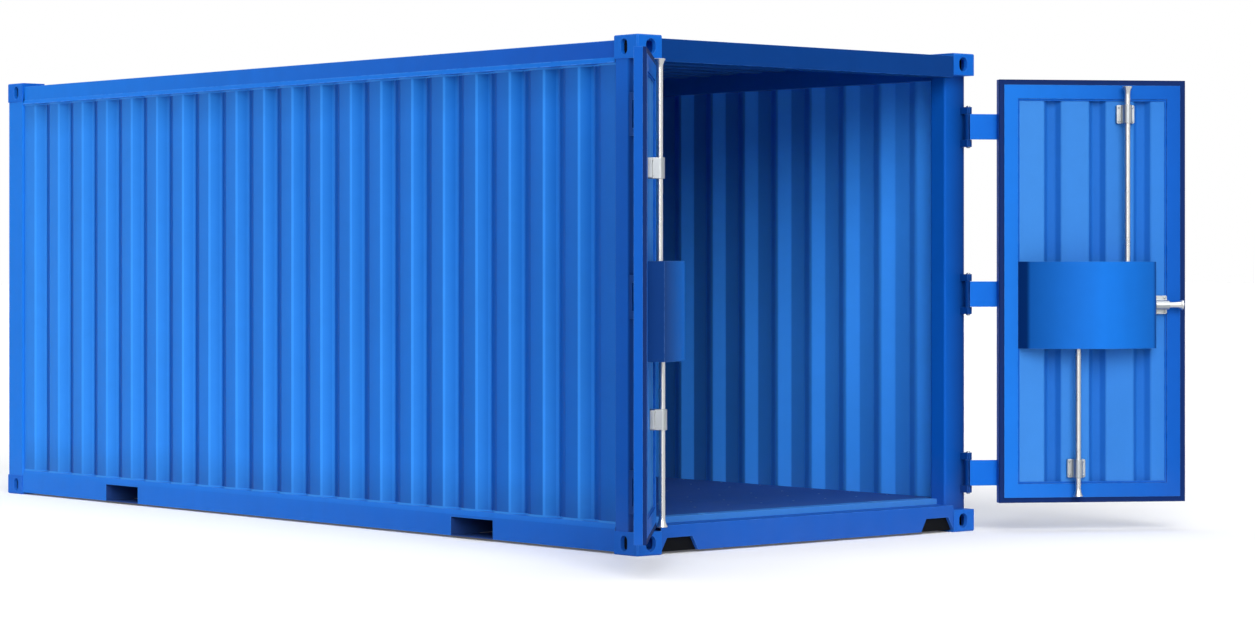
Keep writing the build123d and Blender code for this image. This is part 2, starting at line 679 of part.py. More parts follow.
def door_gasket():
    """Rubber seal around the right leaf, seated on the rim level with the leaf's inner face."""
    ring = leaf_ring((LEAF_FREE_EDGE, LEAF_HINGE_EDGE), (LEAF_BOTTOM, LEAF_TOP), GASKET_WIDTH)
    return bar_along_x(ring, (LEAF_IN, LEAF_IN + GASKET_THICKNESS))


def lock_box(with_side_bolt):
    """Curved sheet cover over the lock, with holes where the bolts leave it."""
    crown = PANEL_IN - LOCK_COVER_CROWN
    shoulder = PANEL_IN - LOCK_COVER_SIDE
    ramp_head = PANEL_IN - LOCK_COVER_RAMP_RISE
    ramp_foot = PANEL_HINGE_EDGE
    ramp_top = ramp_foot - LOCK_COVER_RAMP
    middle = ramp_top + LOCK_COVER_CROWN_SHARE * (COVER_FREE_EDGE - ramp_top)
    profile = make_face(
        [
            Line((PANEL_IN, ramp_foot), (ramp_head, ramp_top)),
            ThreePointArc((ramp_head, ramp_top), (crown, middle), (shoulder, COVER_FREE_EDGE)),
            Line((shoulder, COVER_FREE_EDGE), (PANEL_IN, COVER_FREE_EDGE)),
            Line((PANEL_IN, COVER_FREE_EDGE), (PANEL_IN, ramp_foot)),
        ]
    )
    shell = bar_along_z(profile, (COVER_BOTTOM, COVER_TOP))
    inside = offset(profile, -LOCK_COVER_SHEET, kind=Kind.INTERSECTION)
    shell -= bar_along_z(inside, (COVER_BOTTOM + LOCK_COVER_SHEET, COVER_TOP - LOCK_COVER_SHEET))
    open_back = (COVER_FREE_EDGE + LOCK_COVER_SHEET, ramp_top)
    shell -= block(
        (PANEL_IN - LOCK_COVER_SHEET, PANEL_IN),
        open_back,
        (COVER_BOTTOM + LOCK_COVER_SHEET, COVER_TOP - LOCK_COVER_SHEET),
    )
    hole = Circle(ROD_RADIUS + LOCK_HOLE_GAP)
    shell -= bar_along_z(Pos(ROD_X, TOP_ROD_Y) * hole, (SIDE_BOLT_Z, LEAF_TOP))
    shell -= bar_along_z(Pos(ROD_X, BOTTOM_ROD_Y) * hole, (LEAF_BOTTOM, SIDE_BOLT_Z))
    if with_side_bolt:
        shell -= bar_along_y(Pos(ROD_X, SIDE_BOLT_Z) * hole, (0, TOP_ROD_Y))
    return shell


def bolt(length):
    """Round bolt along Z with its flared head ending at the origin and its shank below."""
    profile = make_face(
        [
            Line((0, 0), (ROD_HEAD_RADIUS, 0)),
            Line((ROD_HEAD_RADIUS, 0), (ROD_HEAD_RADIUS, -ROD_HEAD_RIM)),
            Line((ROD_HEAD_RADIUS, -ROD_HEAD_RIM), (ROD_RADIUS, -ROD_HEAD_LENGTH)),
            Line((ROD_RADIUS, -ROD_HEAD_LENGTH), (ROD_RADIUS, -length)),
            Line((ROD_RADIUS, -length), (0, -length)),
            Line((0, -length), (0, 0)),
        ]
    )
    return revolve(Plane.XZ * profile, Axis.Z)


def top_rod():
    """Top bolt of the right leaf, drawn back."""
    tip = LEAF_TOP - ROD_TIP_INSET
    return Pos(ROD_X, TOP_ROD_Y, tip) * bolt(tip - COVER_TOP + ROD_IN_BOX)


def bottom_rod():
    """Bottom bolt of the right leaf, drawn back."""
    tip = LEAF_BOTTOM + ROD_TIP_INSET
    return Pos(ROD_X, BOTTOM_ROD_Y, tip) * Rot(X=180) * bolt(COVER_BOTTOM + ROD_IN_BOX - tip)


def side_bolt():
    """Side bolt of the right leaf, drawn back from the meeting edge."""
    tip = LEAF_FREE_EDGE + SIDE_BOLT_HEAD_INSET
    return Pos(ROD_X, tip, SIDE_BOLT_Z) * Rot(X=90) * bolt(COVER_FREE_EDGE + ROD_IN_BOX - tip)


def rod_guide(length):
    """Guide block for an upright bolt: a pad on the panel with a round saddle over the bolt."""
    rise = PANEL_IN - ROD_X
    pad = Pos(X=-GUIDE_PAD / 2) * Box(GUIDE_PAD, GUIDE_SIZE, length)
    pad = chamfer(pad.edges().filter_by(Axis.X), GUIDE_CHAMFER)
    saddle = Pos(X=-rise) * Circle(ROD_RADIUS + GUIDE_WALL)
    saddle += Pos(X=-rise / 2) * Rectangle(rise, 2 * (ROD_RADIUS + GUIDE_WALL))
    guide = pad + bar_along_z(saddle, (-length / 2, length / 2))
    bore = Pos(X=-rise) * Circle(ROD_RADIUS + ROD_GAP)
    return guide - bar_along_z(bore, (-length, length))


def upright_guides(inset):
    """Guides of the top and bottom bolts, set in from the leaf's top and bottom edges."""
    guide = rod_guide(GUIDE_SIZE)
    return [
        Pos(PANEL_IN, TOP_ROD_Y, LEAF_TOP - inset) * guide,
        Pos(PANEL_IN, BOTTOM_ROD_Y, LEAF_BOTTOM + inset) * guide,
    ]


def side_guide():
    """Guide of the side bolt on the last flat of the panel."""
    centre = (COVER_FREE_EDGE + PANEL_FREE_EDGE) / 2
    length = COVER_FREE_EDGE - PANEL_FREE_EDGE - 2 * GUIDE_MARGIN
    return Pos(PANEL_IN, centre, SIDE_BOLT_Z) * Rot(X=90) * rod_guide(length)


def door_handle():
    """Outside pull in the last valley of the panel, and the plate of the lock spindle."""
    valley = PANEL_IN + SHEET
    pull_y = (LAST_FLAT_EDGE + PANEL_FREE_EDGE) / 2
    reach = valley + PULL_STANDOFF
    low = SIDE_BOLT_Z - PULL_LENGTH / 2
    high = SIDE_BOLT_Z + PULL_LENGTH / 2
    bow = folded([(valley, low), (reach, low), (reach, high), (valley, high)], PULL_BAR)
    pull = bar_along_y(bow, (pull_y - PULL_WIDTH / 2, pull_y + PULL_WIDTH / 2))
    place = Pos(PANEL_OUT, SPINDLE_Y, SIDE_BOLT_Z)
    rose = Plane.YZ * Rectangle(SPINDLE_PLATE_SIZE, SPINDLE_PLATE_SIZE)
    plate = place * extrude(rose, SPINDLE_PLATE_THICKNESS)
    square = Plane.YZ * Rectangle(SPINDLE_SQUARE, SPINDLE_SQUARE)
    plate += place * extrude(square, SPINDLE_PLATE_THICKNESS + SPINDLE_LENGTH)
    return Compound(children=[pull, plate])


def swung_right(shape):
    """Swing a closed right-hand door piece open about the right hinge pins."""
    return shape.rotate(Axis((PIN_X, PIN_Y, 0), (0, 0, 1)), RIGHT_OPEN_ANGLE)


def swung_left(shape):
    """Mirror a closed right-hand door piece to the left and swing it open."""
    return other_side(shape).rotate(Axis((PIN_X, -PIN_Y, 0), (0, 0, 1)), -LEFT_OPEN_ANGLE)


def build_parts():
    """All pieces by node name, in the rest pose with both doors open."""
    door_post = corner_post((END_IN, DOOR_POST_FACE))
    front_post = corner_post((-END_FACE, -END_IN))
    rail_above = top_rail()
    rail_below = bottom_rail()
    wall = side_wall()
    lugs = hinge_lugs()
    parts = {
        "bottom_castings": bottom_castings(),
        "top_castings": top_castings(),
        "door_post_right": door_post,
        "door_post_left": other_side(door_post),
        "front_post_right": front_post,
        "front_post_left": other_side(front_post),
        "top_rail_right": rail_above,
        "top_rail_left": other_side(rail_above),
        "bottom_rail_right": rail_below,
        "bottom_rail_left": other_side(rail_below),
        "door_header": door_header(),
        "door_sill": door_sill(),
        "threshold": threshold(),
        "front_header": front_header(),
        "front_sill": front_sill(),
        "right_wall": wall,
        "left_wall": other_side(wall),
        "front_wall": front_wall(),
        "roof": roof(),
        "floor_panels": floor_panels(),
        "cross_members": cross_members(),
        "fork_pockets": fork_pockets(),
        "hinge_lugs_right": lugs,
        "hinge_lugs_left": other_side(lugs),
    }
    shared_leaf = {
        "door_frame": door_frame(),
        "door_panel": door_panel(),
        "door_gasket": door_gasket(),
        "door_hinges": hinge_straps(),
        "door_handle": door_handle(),
        "top_rod": top_rod(),
        "bottom_rod": bottom_rod(),
    }
    for name, piece in shared_leaf.items():
        parts["right_" + name] = swung_right(piece)
        parts["left_" + name] = swung_left(piece)
    right_guides = upright_guides(RIGHT_GUIDE_INSET) + [side_guide()]
    parts["right_lock_box"] = swung_right(lock_box(with_side_bolt=True))
    parts["right_rod_guides"] = swung_right(Compound(children=right_guides))
    parts["right_side_bolt"] = swung_right(side_bolt())
    parts["left_lock_box"] = swung_left(lock_box(with_side_bolt=False))
    parts["left_rod_guides"] = swung_left(Compound(children=upright_guides(LEFT_GUIDE_INSET)))
    return parts


os.makedirs("parts", exist_ok=True)
for node, solid in build_parts().items():
    export_step(solid, f"parts/{node}.step")
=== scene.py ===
"""Looks of a twenty-foot shipping container with open doors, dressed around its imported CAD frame."""

import itertools
import json
import logging
import math
from dataclasses import dataclass, field
from enum import Enum
from typing import Iterable, Sequence

import bmesh
import bpy
from bmesh.types import BMEdge, BMesh, BMFace, BMVert
from bpy.types import Light, Material, Mesh, Node, NodeSocket, NodeTree, Object, Scene
from mathutils import Matrix, Vector

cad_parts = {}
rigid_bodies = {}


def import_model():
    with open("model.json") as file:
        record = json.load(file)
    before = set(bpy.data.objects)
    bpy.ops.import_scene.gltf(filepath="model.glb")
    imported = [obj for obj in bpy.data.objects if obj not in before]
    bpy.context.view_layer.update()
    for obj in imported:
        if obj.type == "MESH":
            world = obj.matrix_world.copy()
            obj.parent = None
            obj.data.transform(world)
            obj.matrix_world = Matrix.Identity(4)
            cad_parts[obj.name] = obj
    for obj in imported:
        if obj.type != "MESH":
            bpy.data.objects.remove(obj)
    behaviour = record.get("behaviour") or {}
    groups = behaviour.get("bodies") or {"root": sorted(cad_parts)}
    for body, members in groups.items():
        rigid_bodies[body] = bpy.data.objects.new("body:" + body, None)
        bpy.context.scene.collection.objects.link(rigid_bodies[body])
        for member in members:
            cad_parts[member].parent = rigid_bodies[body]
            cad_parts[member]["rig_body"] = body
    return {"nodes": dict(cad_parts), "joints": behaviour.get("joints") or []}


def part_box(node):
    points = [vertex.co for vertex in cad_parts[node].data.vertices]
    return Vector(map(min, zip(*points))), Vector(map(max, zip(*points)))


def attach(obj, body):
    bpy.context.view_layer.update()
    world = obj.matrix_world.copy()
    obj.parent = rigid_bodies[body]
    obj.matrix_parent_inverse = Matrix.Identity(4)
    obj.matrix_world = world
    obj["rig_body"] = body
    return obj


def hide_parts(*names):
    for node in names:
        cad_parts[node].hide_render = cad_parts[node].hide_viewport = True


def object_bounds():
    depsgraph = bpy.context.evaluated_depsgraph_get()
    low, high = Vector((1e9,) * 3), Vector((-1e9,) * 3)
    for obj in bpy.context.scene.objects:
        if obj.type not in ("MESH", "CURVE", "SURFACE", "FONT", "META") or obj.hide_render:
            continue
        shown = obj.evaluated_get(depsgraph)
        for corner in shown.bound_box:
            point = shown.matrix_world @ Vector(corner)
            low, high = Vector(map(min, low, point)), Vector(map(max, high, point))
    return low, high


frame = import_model()
CAD_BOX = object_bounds()

log = logging.getLogger("container")

CONTAINER = "container"
SIDES = ("left", "right")
RUB_AND_HIGHLIGHT_ATTRIBUTE = "rub"
SHADE_ATTRIBUTE = "shade"
MERGE_DISTANCE = 0.00002
FLAT_ANGLE = math.radians(0.6)
SMOOTH_ANGLE = math.radians(38.0)
DUST_COLOUR = "8A8378"

# Sockets of a colour mix: its factor and two colours among the inputs, its result among the outputs
MIX_INPUTS = (0, 6, 7)
MIX_RESULT = 2

Inputs = dict[str | int, object]


class Slot(Enum):
    """Material slots of the record."""

    PAINT = "blue_paint"
    FLOOR = "floor_paint"
    STEEL = "bright_steel"
    RUBBER = "gasket_rubber"


class EdgeRule(Enum):
    """Which edges of a CAD copy are rounded, as a range of fold angles in degrees."""

    NONE = (181.0, 182.0)
    BENDS = (8.0, 78.0)
    CORNERS = (40.0, 180.0)
    ALL = (24.0, 180.0)


# Node groups and materials


@dataclass(frozen=True)
class Noise:
    """Settings of a noise texture: features per metre, octaves, and weight of the finer octaves."""

    scale: float
    detail: float = 3.0
    roughness: float = 0.5


class Tree:
    """Small helper that adds and links nodes in one node tree. Values are sockets, numbers or colours."""

    def __init__(self, tree: NodeTree) -> None:
        """Keep the tree of a material, world or node group."""
        self.tree = tree

    def link(self, source: NodeSocket, target: NodeSocket) -> None:
        """Join an output socket to an input socket."""
        self.tree.links.new(source, target)

    def add(self, kind: str, inputs: Inputs | None = None, **settings: object) -> Node:
        """Add a node, set its properties and feed its inputs.

        Args:
            kind: Blender's node type name.
            inputs: Values by the input's name or number.
            **settings: Node properties.

        Returns:
            The new node.
        """
        node = self.tree.nodes.new(kind)
        for name, value in settings.items():
            setattr(node, name, value)
        for name, value in (inputs or {}).items():
            if isinstance(value, NodeSocket):
                self.link(value, node.inputs[name])
            else:
                node.inputs[name].default_value = value
        return node

    def group(self, content: NodeTree, **values: float) -> Node:
        """Add a shared node group with its input values."""
        return self.add("ShaderNodeGroup", values, node_tree=content)

    def math(self, operation: str, first: object, second: object) -> NodeSocket:
        """Result of an operation on two values."""
        return self.add("ShaderNodeMath", {0: first, 1: second}, operation=operation).outputs[0]

    def plus(self, base: object, value: NodeSocket, factor: float) -> NodeSocket:
        """Sum of a base and a value times a factor."""
        return self.math("ADD", base, self.math("MULTIPLY", value, factor))

    def ramp(self, value: NodeSocket, low: float, high: float) -> NodeSocket:
        """Value mapped smoothly to 0 at low and 1 at high."""
        inputs = {"Value": value, "From Min": low, "From Max": high}
        return self.add("ShaderNodeMapRange", inputs, interpolation_type="SMOOTHSTEP").outputs["Result"]

    def marked(self, attribute: str) -> NodeSocket:
        """Value of a mesh attribute."""
        return self.add("ShaderNodeAttribute", attribute_name=attribute).outputs["Fac"]

    def place(self) -> NodeSocket:
        """Coordinates in the object's frame, in metres."""
        return self.add("ShaderNodeTexCoord").outputs["Object"]

    def level(self, place: NodeSocket) -> NodeSocket:
        """Height part of coordinates."""
        return self.add("ShaderNodeSeparateXYZ", {0: place}).outputs["Z"]

    def stretched(self, place: NodeSocket, scale: Sequence[float]) -> NodeSocket:
        """Coordinates scaled by axis."""
        return self.add("ShaderNodeMapping", {"Vector": place, "Scale": scale}).outputs["Vector"]

    def noise(self, place: NodeSocket, look: Noise) -> NodeSocket:
        """Noise from 0 to 1 at a place."""
        inputs = {"Vector": place, "Scale": look.scale, "Detail": look.detail, "Roughness": look.roughness}
        return self.add("ShaderNodeTexNoise", inputs).outputs["Fac"]

    def wave(self, place: NodeSocket, look: Noise) -> NodeSocket:
        """Noise that swings evenly about 0."""
        return self.math("SUBTRACT", self.noise(place, look), 0.5)

    def mix_colour(self, factor: object, first: object, second: object) -> NodeSocket:
        """First colour, replaced by the second as far as the factor says."""
        inputs = dict(zip(MIX_INPUTS, (factor, first, second)))
        return self.add("ShaderNodeMix", inputs, data_type="RGBA").outputs[MIX_RESULT]

    def toned(self, colour: object, change: NodeSocket) -> NodeSocket:
        """Colour with a factor on its brightness."""
        return self.add("ShaderNodeHueSaturation", {"Color": colour, "Value": change}).outputs["Color"]

    def bump(self, height: NodeSocket, strength: float, distance: float) -> NodeSocket:
        """Normal of a skin with a height from 0 to 1, which stands for a distance in metres."""
        inputs = {"Height": height, "Strength": strength, "Distance": distance}
        return self.add("ShaderNodeBump", inputs).outputs["Normal"]


def group_tree(
    name: str, inputs: dict[str, float], outputs: Sequence[str]
) -> tuple[Tree, dict[str, NodeSocket], Node]:
    """Start a shader node group with value sockets.

    Args:
        name: Name of the group.
        inputs: Input names with their default values.
        outputs: Output names.

    Returns:
        The tree helper, the group's input sockets by name, and its output node.
    """
    tree = bpy.data.node_groups.new(name, "ShaderNodeTree")
    for label, value in inputs.items():
        socket = tree.interface.new_socket(label, in_out="INPUT", socket_type="NodeSocketFloat")
        socket.default_value = value
    for label in outputs:
        tree.interface.new_socket(label, in_out="OUTPUT", socket_type="NodeSocketFloat")
    helper = Tree(tree)
    entry = helper.add("NodeGroupInput")
    leave = helper.add("NodeGroupOutput")
    return helper, {label: entry.outputs[label] for label in inputs}, leave


@dataclass(frozen=True)
class PaintWeather:
    """Weathering of a coat: its tone, gloss change and skin, and the painted shade on marked faces."""

    cloud: Noise = Noise(1.3, 4.0, 0.55)
    speck: Noise = Noise(11.0, 3.0, 0.6)
    speck_share: float = 0.45
    dull_share: float = 0.5
    drip: Noise = Noise(1.0, 3.0, 0.6)
    drip_stretch: tuple[float, float, float] = (9.0, 9.0, 0.35)
    skin: Noise = Noise(420.0, 2.0)
    ripple: Noise = Noise(38.0, 2.0)
    ripple_share: float = 2.5

    def build(self) -> NodeTree:
        """Make the group.

        Returns:
            The node group with outputs Tone, Dull, Height and PaintedShade.
        """
        outputs = ("Tone", "Dull", "Height", "PaintedShade")
        inputs = {"Mottle": 0.5, "Streak": 0.5, "Peel": 1.0}
        helper, given, leave = group_tree("paint_weather", inputs, outputs)
        place = helper.place()
        cloud, speck = helper.wave(place, self.cloud), helper.wave(place, self.speck)
        drip = helper.wave(helper.stretched(place, self.drip_stretch), self.drip)
        mottle = helper.math("MULTIPLY", helper.plus(cloud, speck, self.speck_share), given["Mottle"])
        streak = helper.math("MULTIPLY", drip, given["Streak"])
        tone = helper.math("ADD", mottle, streak)
        dull = helper.plus(helper.math("MULTIPLY", cloud, self.dull_share), speck, self.dull_share)
        skin, ripple = helper.noise(place, self.skin), helper.noise(place, self.ripple)
        height = helper.math("MULTIPLY", helper.plus(skin, ripple, self.ripple_share), given["Peel"])
        for label, result in zip(outputs, (tone, dull, height, helper.marked(SHADE_ATTRIBUTE))):
            helper.link(result, leave.inputs[label])
        return helper.tree


@dataclass(frozen=True)
class EdgeRubAndHighlight:
    """Wear of rounded edges, which also paints a highlight along them: a broken mask on the faces that are
    marked as rounded.
    """

    patch: Noise = Noise(26.0)
    patch_range: tuple[float, float] = (0.3, 0.62)

    def build(self) -> NodeTree:
        """Make the group.

        Returns:
            The node group with output Mask.
        """
        helper, given, leave = group_tree("edge_rub_and_highlight", {"Amount": 0.5}, ("Mask",))
        broken = helper.ramp(helper.noise(helper.place(), self.patch), *self.patch_range)
        worn_and_highlighted = helper.math("MULTIPLY", helper.marked(RUB_AND_HIGHLIGHT_ATTRIBUTE), broken)
        helper.link(helper.math("MULTIPLY", worn_and_highlighted, given["Amount"]), leave.inputs["Mask"])
        return helper.tree


@dataclass(frozen=True)
class RoadDust:
    """Road dust: a mask that thins out upwards from the ground."""

    reach: float = 0.5
    patch: Noise = Noise(5.0, 5.0, 0.62)
    fade: tuple[float, float] = (0.1, 1.2)

    def build(self) -> NodeTree:
        """Make the group.

        Returns:
            The node group with output Mask.
        """
        helper, given, leave = group_tree("road_dust", {"Amount": 0.2}, ("Mask",))
        place = helper.place()
        share = helper.math("SUBTRACT", 1.0, helper.math("DIVIDE", helper.level(place), self.reach))
        mask = helper.ramp(helper.math("ADD", share, helper.wave(place, self.patch)), *self.fade)
        helper.link(helper.math("MULTIPLY", mask, given["Amount"]), leave.inputs["Mask"])
        return helper.tree


@dataclass(frozen=True)
class WallRailShade:
    """Painted shade along the rails: a mask that darkens a wall towards its head and foot."""

    patch: Noise = Noise(3.0, 4.0, 0.6)
    patch_share: float = 0.5

    def build(self) -> NodeTree:
        """Make the group.

        Returns:
            The node group with output Mask.
        """
        limits = {"Low": 0.0, "High": 1.0, "Reach": 0.3, "Amount": 0.3}
        helper, given, leave = group_tree("painted_wall_rail_shade", limits, ("Mask",))
        place = helper.place()
        level = helper.level(place)
        patch = helper.math("MULTIPLY", helper.wave(place, self.patch), self.patch_share)
        masks = []
        for start, end in ((given["Low"], level), (level, given["High"])):
            share = helper.math("DIVIDE", helper.math("SUBTRACT", end, start), given["Reach"])
            near = helper.math("SUBTRACT", 1.0, helper.math("SUBTRACT", share, patch))
            masks.append(helper.ramp(near, 0.0, 1.0))
        total = helper.math("ADD", *masks)
        helper.link(helper.math("MULTIPLY", total, given["Amount"]), leave.inputs["Mask"])
        return helper.tree


def srgb(code: str) -> tuple[float, float, float, float]:
    """Convert a hex colour to linear light.

    Args:
        code: Six hex digits.

    Returns:
        Linear red, green, blue and 1 for alpha.
    """
    channels = []
    for start in (0, 2, 4):
        value = int(code[start:start + 2], 16) / 255
        channels.append(value / 12.92 if value <= 0.04045 else ((value + 0.055) / 1.055) ** 2.4)
    return (*channels, 1.0)


def new_material(name: str) -> tuple[Material, Tree, Node]:
    """Start a material.

    Args:
        name: Name of the material.

    Returns:
        The material, a helper on its tree, and its main shader.
    """
    material = bpy.data.materials.new(name)
    material.use_nodes = True
    return material, Tree(material.node_tree), material.node_tree.nodes["Principled BSDF"]


@dataclass(frozen=True)
class Effects:
    """Shared shader node groups."""

    weather: NodeTree
    rub: NodeTree
    dust: NodeTree
    wall_rail_shade: NodeTree


@dataclass(frozen=True)
class PaintFinish:
    """Coloured coat with mottling, run-off streaks, edge wear that also paints a highlight, and road dust,
    with painted shade on marked faces and, where asked, towards a wall's head and foot.
    """

    name: str
    colour: str
    # Colour of the edge wear, lighter, so it also paints a highlight
    rub_and_highlight_colour: str
    # Colour of the painted shade on marked faces
    deep: str = "0455B2"
    slot: Slot = Slot.PAINT
    roughness: float = 0.42
    dulling: float = 0.16
    dust_dulling: float = 0.5
    mottle: float = 0.16
    streak: float = 0.10
    peel: float = 1.0
    rub: float = 0.35
    dust: float = 0.10
    bump: float = 0.10
    bump_height: float = 0.0006
    specular: float = 0.05
    wall_rail_shade: float = 0.0
    wall_rail_shade_span: tuple[float, float] = (0.15, 2.46)
    wall_rail_shade_reach: float = 0.26

    def build(self, effects: Effects) -> Material:
        """Make the material.

        Args:
            effects: Shared node groups.

        Returns:
            The finished material.
        """
        material, tree, shader = new_material(self.name)
        shader.inputs["Specular IOR Level"].default_value = self.specular
        weather = tree.group(effects.weather, Mottle=self.mottle, Streak=self.streak, Peel=self.peel)
        rub = tree.group(effects.rub, Amount=self.rub).outputs["Mask"]
        dust = tree.group(effects.dust, Amount=self.dust).outputs["Mask"]
        change = tree.math("ADD", 1.0, weather.outputs["Tone"])
        # Painted shade towards a wall's head and foot
        if self.wall_rail_shade > 0:
            low, high = self.wall_rail_shade_span
            wall_rail_shade = tree.group(effects.wall_rail_shade, Low=low, High=high, Reach=self.wall_rail_shade_reach, Amount=self.wall_rail_shade)
            change = tree.math("SUBTRACT", change, wall_rail_shade.outputs["Mask"])
        # Painted shade: marked faces go over to the deep colour
        with_painted_shade = tree.mix_colour(weather.outputs["PaintedShade"], srgb(self.colour), srgb(self.deep))
        # Edge wear, which also paints a highlight
        worn_and_highlighted = tree.mix_colour(rub, tree.toned(with_painted_shade, change), srgb(self.rub_and_highlight_colour))
        tree.link(tree.mix_colour(dust, worn_and_highlighted, srgb(DUST_COLOUR)), shader.inputs["Base Color"])
        gloss = tree.plus(self.roughness, weather.outputs["Dull"], self.dulling)
        tree.link(tree.plus(gloss, dust, self.dust_dulling), shader.inputs["Roughness"])
        skin = tree.bump(weather.outputs["Height"], self.bump, self.bump_height)
        tree.link(skin, shader.inputs["Normal"])
        return material


@dataclass(frozen=True)
class SteelFinish:
    """Bare plated steel with drawn scratches along the piece and dull handling patches."""

    name: str
    colour: str
    slot: Slot = Slot.STEEL
    roughness: float = 0.24
    dulling: float = 0.35
    mottle: float = 0.22
    grain: tuple[float, float, float] = (260.0, 260.0, 4.0)
    scratch: Noise = Noise(1.0, 2.0, 0.6)
    scratch_dulling: float = 0.10
    bump: float = 0.12
    bump_height: float = 0.0002

    def build(self, effects: Effects) -> Material:
        """Make the material.

        Args:
            effects: Shared node groups.

        Returns:
            The finished material.
        """
        material, tree, shader = new_material(self.name)
        shader.inputs["Metallic"].default_value = 1.0
        weather = tree.group(effects.weather, Mottle=self.mottle, Streak=0.0)
        change = tree.math("ADD", 1.0, weather.outputs["Tone"])
        tree.link(tree.toned(srgb(self.colour), change), shader.inputs["Base Color"])
        scratch = tree.noise(tree.stretched(tree.place(), self.grain), self.scratch)
        gloss = tree.plus(self.roughness, weather.outputs["Dull"], self.dulling)
        gloss = tree.plus(gloss, tree.math("SUBTRACT", scratch, 0.5), self.scratch_dulling)
        tree.link(gloss, shader.inputs["Roughness"])
        tree.link(tree.bump(scratch, self.bump, self.bump_height), shader.inputs["Normal"])
        return material


@dataclass(frozen=True)
class RubberFinish:
    """Matt coloured rubber with a faint bloom."""

    name: str
    colour: str
    slot: Slot = Slot.RUBBER
    roughness: float = 0.68
    dulling: float = 0.25
    mottle: float = 0.30
    streak: float = 0.12
    specular: float = 0.1
    bump: float = 0.15
    bump_height: float = 0.0004

    def build(self, effects: Effects) -> Material:
        """Make the material.

        Args:
            effects: Shared node groups.

        Returns:
            The finished material.
        """
        material, tree, shader = new_material(self.name)
        shader.inputs["Specular IOR Level"].default_value = self.specular
        weather = tree.group(effects.weather, Mottle=self.mottle, Streak=self.streak)
        change = tree.math("ADD", 1.0, weather.outputs["Tone"])
        tree.link(tree.toned(srgb(self.colour), change), shader.inputs["Base Color"])
        gloss = tree.plus(self.roughness, weather.outputs["Dull"], self.dulling)
        tree.link(gloss, shader.inputs["Roughness"])
        skin = tree.bump(weather.outputs["Height"], self.bump, self.bump_height)
        tree.link(skin, shader.inputs["Normal"])
        return material


Finish = PaintFinish | SteelFinish | RubberFinish


@dataclass
class Finishes:
    """All finishes of the container, built once."""

    effects: Effects
    made: dict[str, Material] = field(default_factory=dict)
    # The coat's own colour shows where no shade is painted, brightest at the ridges as a painted highlight;
    # its deep colour is the painted shade, also painted towards the walls' head and foot
    coat: PaintFinish = PaintFinish("container_coat", "368EEA", "5C9AE8", deep="0452AE", dust=0.03, wall_rail_shade=0.2)
    # Coat of the inside faces, whose navy deep colour is painted shade inside the container
    inside_shaded_coat: PaintFinish = PaintFinish("inside_shaded_coat", "3A96FA", "5C9AE8", deep="122E62", dust=0.05)
    frame_coat: PaintFinish = PaintFinish("frame_coat", "0A57B6", "4585D8", deep="0A2C68", dust=0.08)
    rail_coat: PaintFinish = PaintFinish("rail_coat", "1870D0", "4F8FE0", deep="0A4EB0", dust=0.04)
    cast_coat: PaintFinish = PaintFinish(
        "casting_coat", "1262C4", "5C9AE8", roughness=0.5, peel=2.2, rub=0.45, dust=0.04, bump=0.22
    )
    door_coat: PaintFinish = PaintFinish("door_coat", "1A72D4", "74AAEE", deep="0A4EAA", dust=0.04)
    panel_coat: PaintFinish = PaintFinish("door_panel_coat", "3C82D0", "74AAEE", deep="1860B8", dust=0.04)
    cover_coat: PaintFinish = PaintFinish(
        "cover_coat", "1670D2", "74AAEE", deep="041E54", roughness=0.4, dust=0.0
    )
    strap_coat: PaintFinish = PaintFinish("strap_coat", "1268CE", "5C9AE8", deep="06387C", dust=0.0)
    deck_coat: PaintFinish = PaintFinish(
        "deck_coat", "1A4A96", "5F7FA8", slot=Slot.FLOOR,
        roughness=0.55, mottle=0.35, peel=1.6, bump=0.2, dust=0.12,
    )
    rod_steel: SteelFinish = SteelFinish("rod_steel", "C8C8C6", roughness=0.3, mottle=0.08)
    guide_steel: SteelFinish = SteelFinish(
        "guide_steel", "A4A8AA", roughness=0.36, grain=(140.0, 140.0, 140.0)
    )
    # Dark copy of the paint: painted shade on the door header, the hinge lugs, the fork pockets and the
    # plates that close them
    shaded_end_coat: PaintFinish = PaintFinish("shaded_end_coat", "06387C", "3F7CC8", dust=0.08)
    seal: RubberFinish = RubberFinish("door_seal", "08265E")
    # Near-black plates: painted shade behind the casting slots and the sill notches
    shade_liner: RubberFinish = RubberFinish("slot_shade_liner", "07090E")

    def get(self, finish: Finish) -> Material:
        """Return the material of a finish, building it the first time.

        Args:
            finish: One of the finishes.

        Returns:
            Its material.
        """
        if finish.name not in self.made:
            self.made[finish.name] = finish.build(self.effects)
        return self.made[finish.name]


# Mesh helpers

Box = tuple[Vector, Vector]


def mesh_object(name: str, mesh: Mesh) -> Object:
    """Put a mesh in the scene as an object at the origin.

    Args:
        name: Name of the object.
        mesh: Its mesh.

    Returns:
        The new object.
    """
    piece = bpy.data.objects.new(name, mesh)
    bpy.context.scene.collection.objects.link(piece)
    return piece


def finish_mesh(work: BMesh, name: str, soft: bool = False) -> Object:
    """Turn a bmesh into a smooth-shaded object.

    Args:
        work: The bmesh, freed here.
        name: Name of the new object.
        soft: Whether its flats swell softly into their bends, instead of staying even.

    Returns:
        The new object.
    """
    for face in work.faces:
        face.smooth = True
    mesh = bpy.data.meshes.new(name)
    work.to_mesh(mesh)
    work.free()
    mesh.set_sharp_from_angle(angle=SMOOTH_ANGLE)
    piece = mesh_object(name, mesh)
    if not soft:
        even = piece.modifiers.new("even_normals", "WEIGHTED_NORMAL")
        even.keep_sharp = True
    return piece


